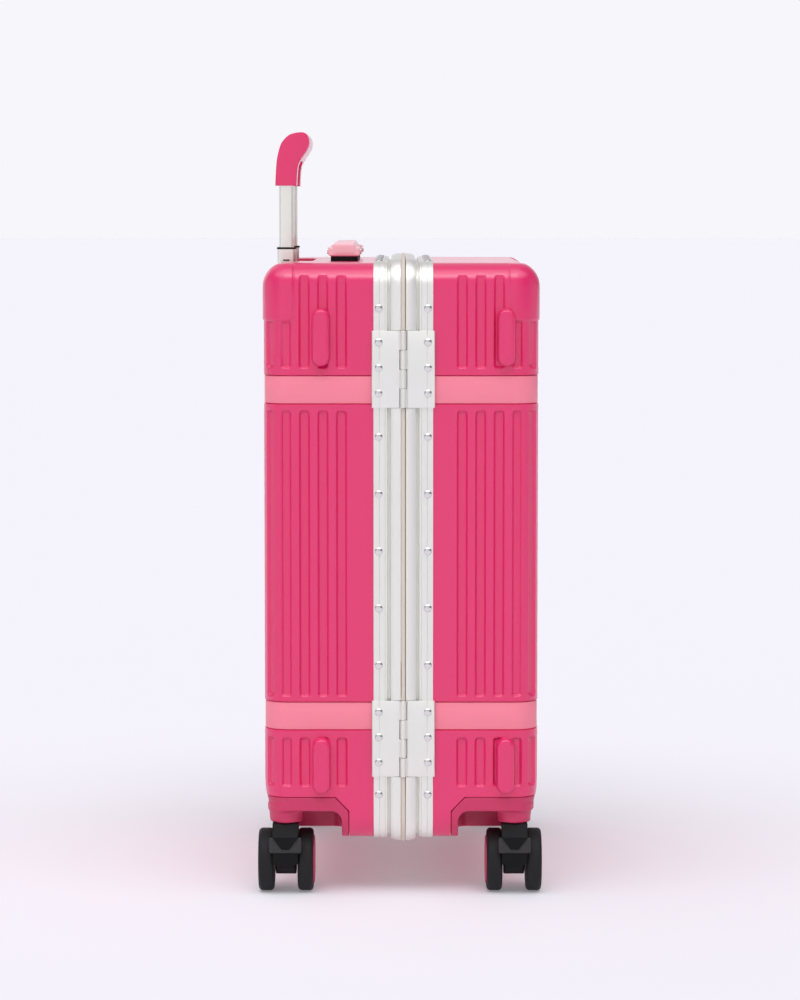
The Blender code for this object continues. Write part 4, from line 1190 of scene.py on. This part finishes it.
def band(tree, value, points):
    """A smooth curve over one component of a direction, from (position, level) points."""
    curve = node(tree, "ValToRGB")
    curve.color_ramp.interpolation = "EASE"
    elements = curve.color_ramp.elements
    while len(elements) > 1:
        elements.remove(elements[-1])
    for index, (position, level) in enumerate(points):
        element = elements[0] if index == 0 else elements.new((position + 1) / 2)
        element.position = (position + 1) / 2
        element.color = (level, level, level, 1.0)
    span = node(tree, "MapRange")
    set_inputs(span, From_Min=-1.0)
    tree.links.new(value, span.inputs["Value"])
    tree.links.new(span.outputs["Result"], curve.inputs["Fac"])
    return curve.outputs["Color"]


def mixed(tree, blend_type, first, second):
    made = node(tree, "Mix", data_type="RGBA", blend_type=blend_type)
    made.inputs[0].default_value = 1.0
    for value, socket in ((first, made.inputs[6]), (second, made.inputs[7])):
        if isinstance(value, tuple):
            socket.default_value = (*value, 1.0)
        else:
            tree.links.new(value, socket)
    return made.outputs[2]


def product(tree, *colours):
    result = colours[0]
    for colour in colours[1:]:
        result = mixed(tree, "MULTIPLY", result, colour)
    return result


def make_light():
    """An even pale studio: light walls, a broad soft light over the camera, a dim ceiling."""
    world = bpy.data.worlds.new("studio")
    bpy.context.scene.world = world
    world.use_nodes = True
    tree = world.node_tree
    direction = node(tree, "TexCoord")
    parts = node(tree, "SeparateXYZ")
    tree.links.new(direction.outputs["Generated"], parts.inputs[0])
    x, y, z = (parts.outputs[axis] for axis in "XYZ")
    low = band(tree, z, [(-1.0, 1.0), (0.30, 1.0), (0.55, CEILING), (1.0, CEILING)])
    before_and_behind = band(tree, x, [(-1.0, FRONT_WALL), (-0.3, FRONT_WALL), (0.5, BACK_WALL),
                                       (1.0, BACK_WALL)])
    across_it = band(tree, y, [(-1.0, 0.55), (-0.85, 0.25), (-0.50, 0.48), (-0.20, 1.0), (0.30, 1.0),
                               (0.50, 1.30), (0.68, 0.80), (0.85, 0.40), (1.0, 0.75)])
    walls = product(tree, low, before_and_behind, across_it)
    near = band(tree, x, [(-1.0, 1.0), (-0.30, 1.0), (0.15, 0.0)])
    overhead = band(tree, z, [(-1.0, 0.0), (0.60, 0.0), (0.72, 1.0)])
    soft = product(tree, overhead, near, (SOFT_LIGHT,) * 3)
    height = band(tree, z, [(-1.0, 0.0), (0.69, 0.0), (0.75, 1.0), (0.84, 1.0), (0.90, 0.0)])
    narrow = band(tree, y, [(-1.0, 0.0), (-0.32, 0.0), (-0.22, 1.0), (0.22, 1.0), (0.32, 0.0)])
    core = product(tree, height, near, narrow, (CORE_LIGHT,) * 3)
    soft = mixed(tree, "ADD", soft, core)
    colour = product(tree, mixed(tree, "ADD", walls, soft), PALE)
    tree.links.new(colour, tree.nodes["Background"].inputs["Color"])
    bpy.context.scene.view_settings.view_transform = "Standard"


def make_floor():
    floor = new_object("floor", [(-30, -30, 0), (60, -30, 0), (60, 30, 0), (-30, 30, 0)],
                       [(0, 1, 2, 3)])
    material = bpy.data.materials.new("floor")
    material.use_nodes = True
    shader = material.node_tree.nodes["Principled BSDF"]
    set_inputs(shader, Base_Color=(*(FLOOR_GREY * part for part in PALE), 1.0), Roughness=1.0,
               Emission_Color=(*PALE, 1.0), Emission_Strength=FLOOR_GLOW, Specular_IOR_Level=0.0)
    floor.data.materials.append(material)


def dress_cad(frame):
    """The CAD solids that are shown as they are take their slot's finish."""
    slots = {part["node"]: part["material_slot"] for part in frame["record"]["subparts"]}
    for name, thing in frame["nodes"].items():
        if not thing.hide_render:
            thing.data.materials.clear()
            thing.data.materials.append(MATERIALS[slots[name]])


def main():
    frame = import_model()
    make_materials()
    for half in HALVES:
        make_shell(half)
        make_feet(half)
        make_belts(half)
        make_frame(half)
        make_rivets(half)
        for side in SIDES:
            make_housing(half, side)
            make_caster(half, side)
        for level in HINGE_MIDDLES:
            make_hinge(half, level)
    make_seal()
    make_tubes()
    make_grip()
    make_cup()
    make_carry_handle("top", (CASE_X, CARRY_Y, CASE_HIGH), 0.0)
    make_carry_handle("side", (LOCK_FACE, CARRY_Y, (CASE_LOW + CASE_HIGH) / 2), math.pi / 2)
    for level in HINGE_MIDDLES:
        make_hinge_pin(level)
        make_latch(level)
    make_lock()
    dress_cad(frame)
    make_floor()
    make_light()
    make_camera()


main()
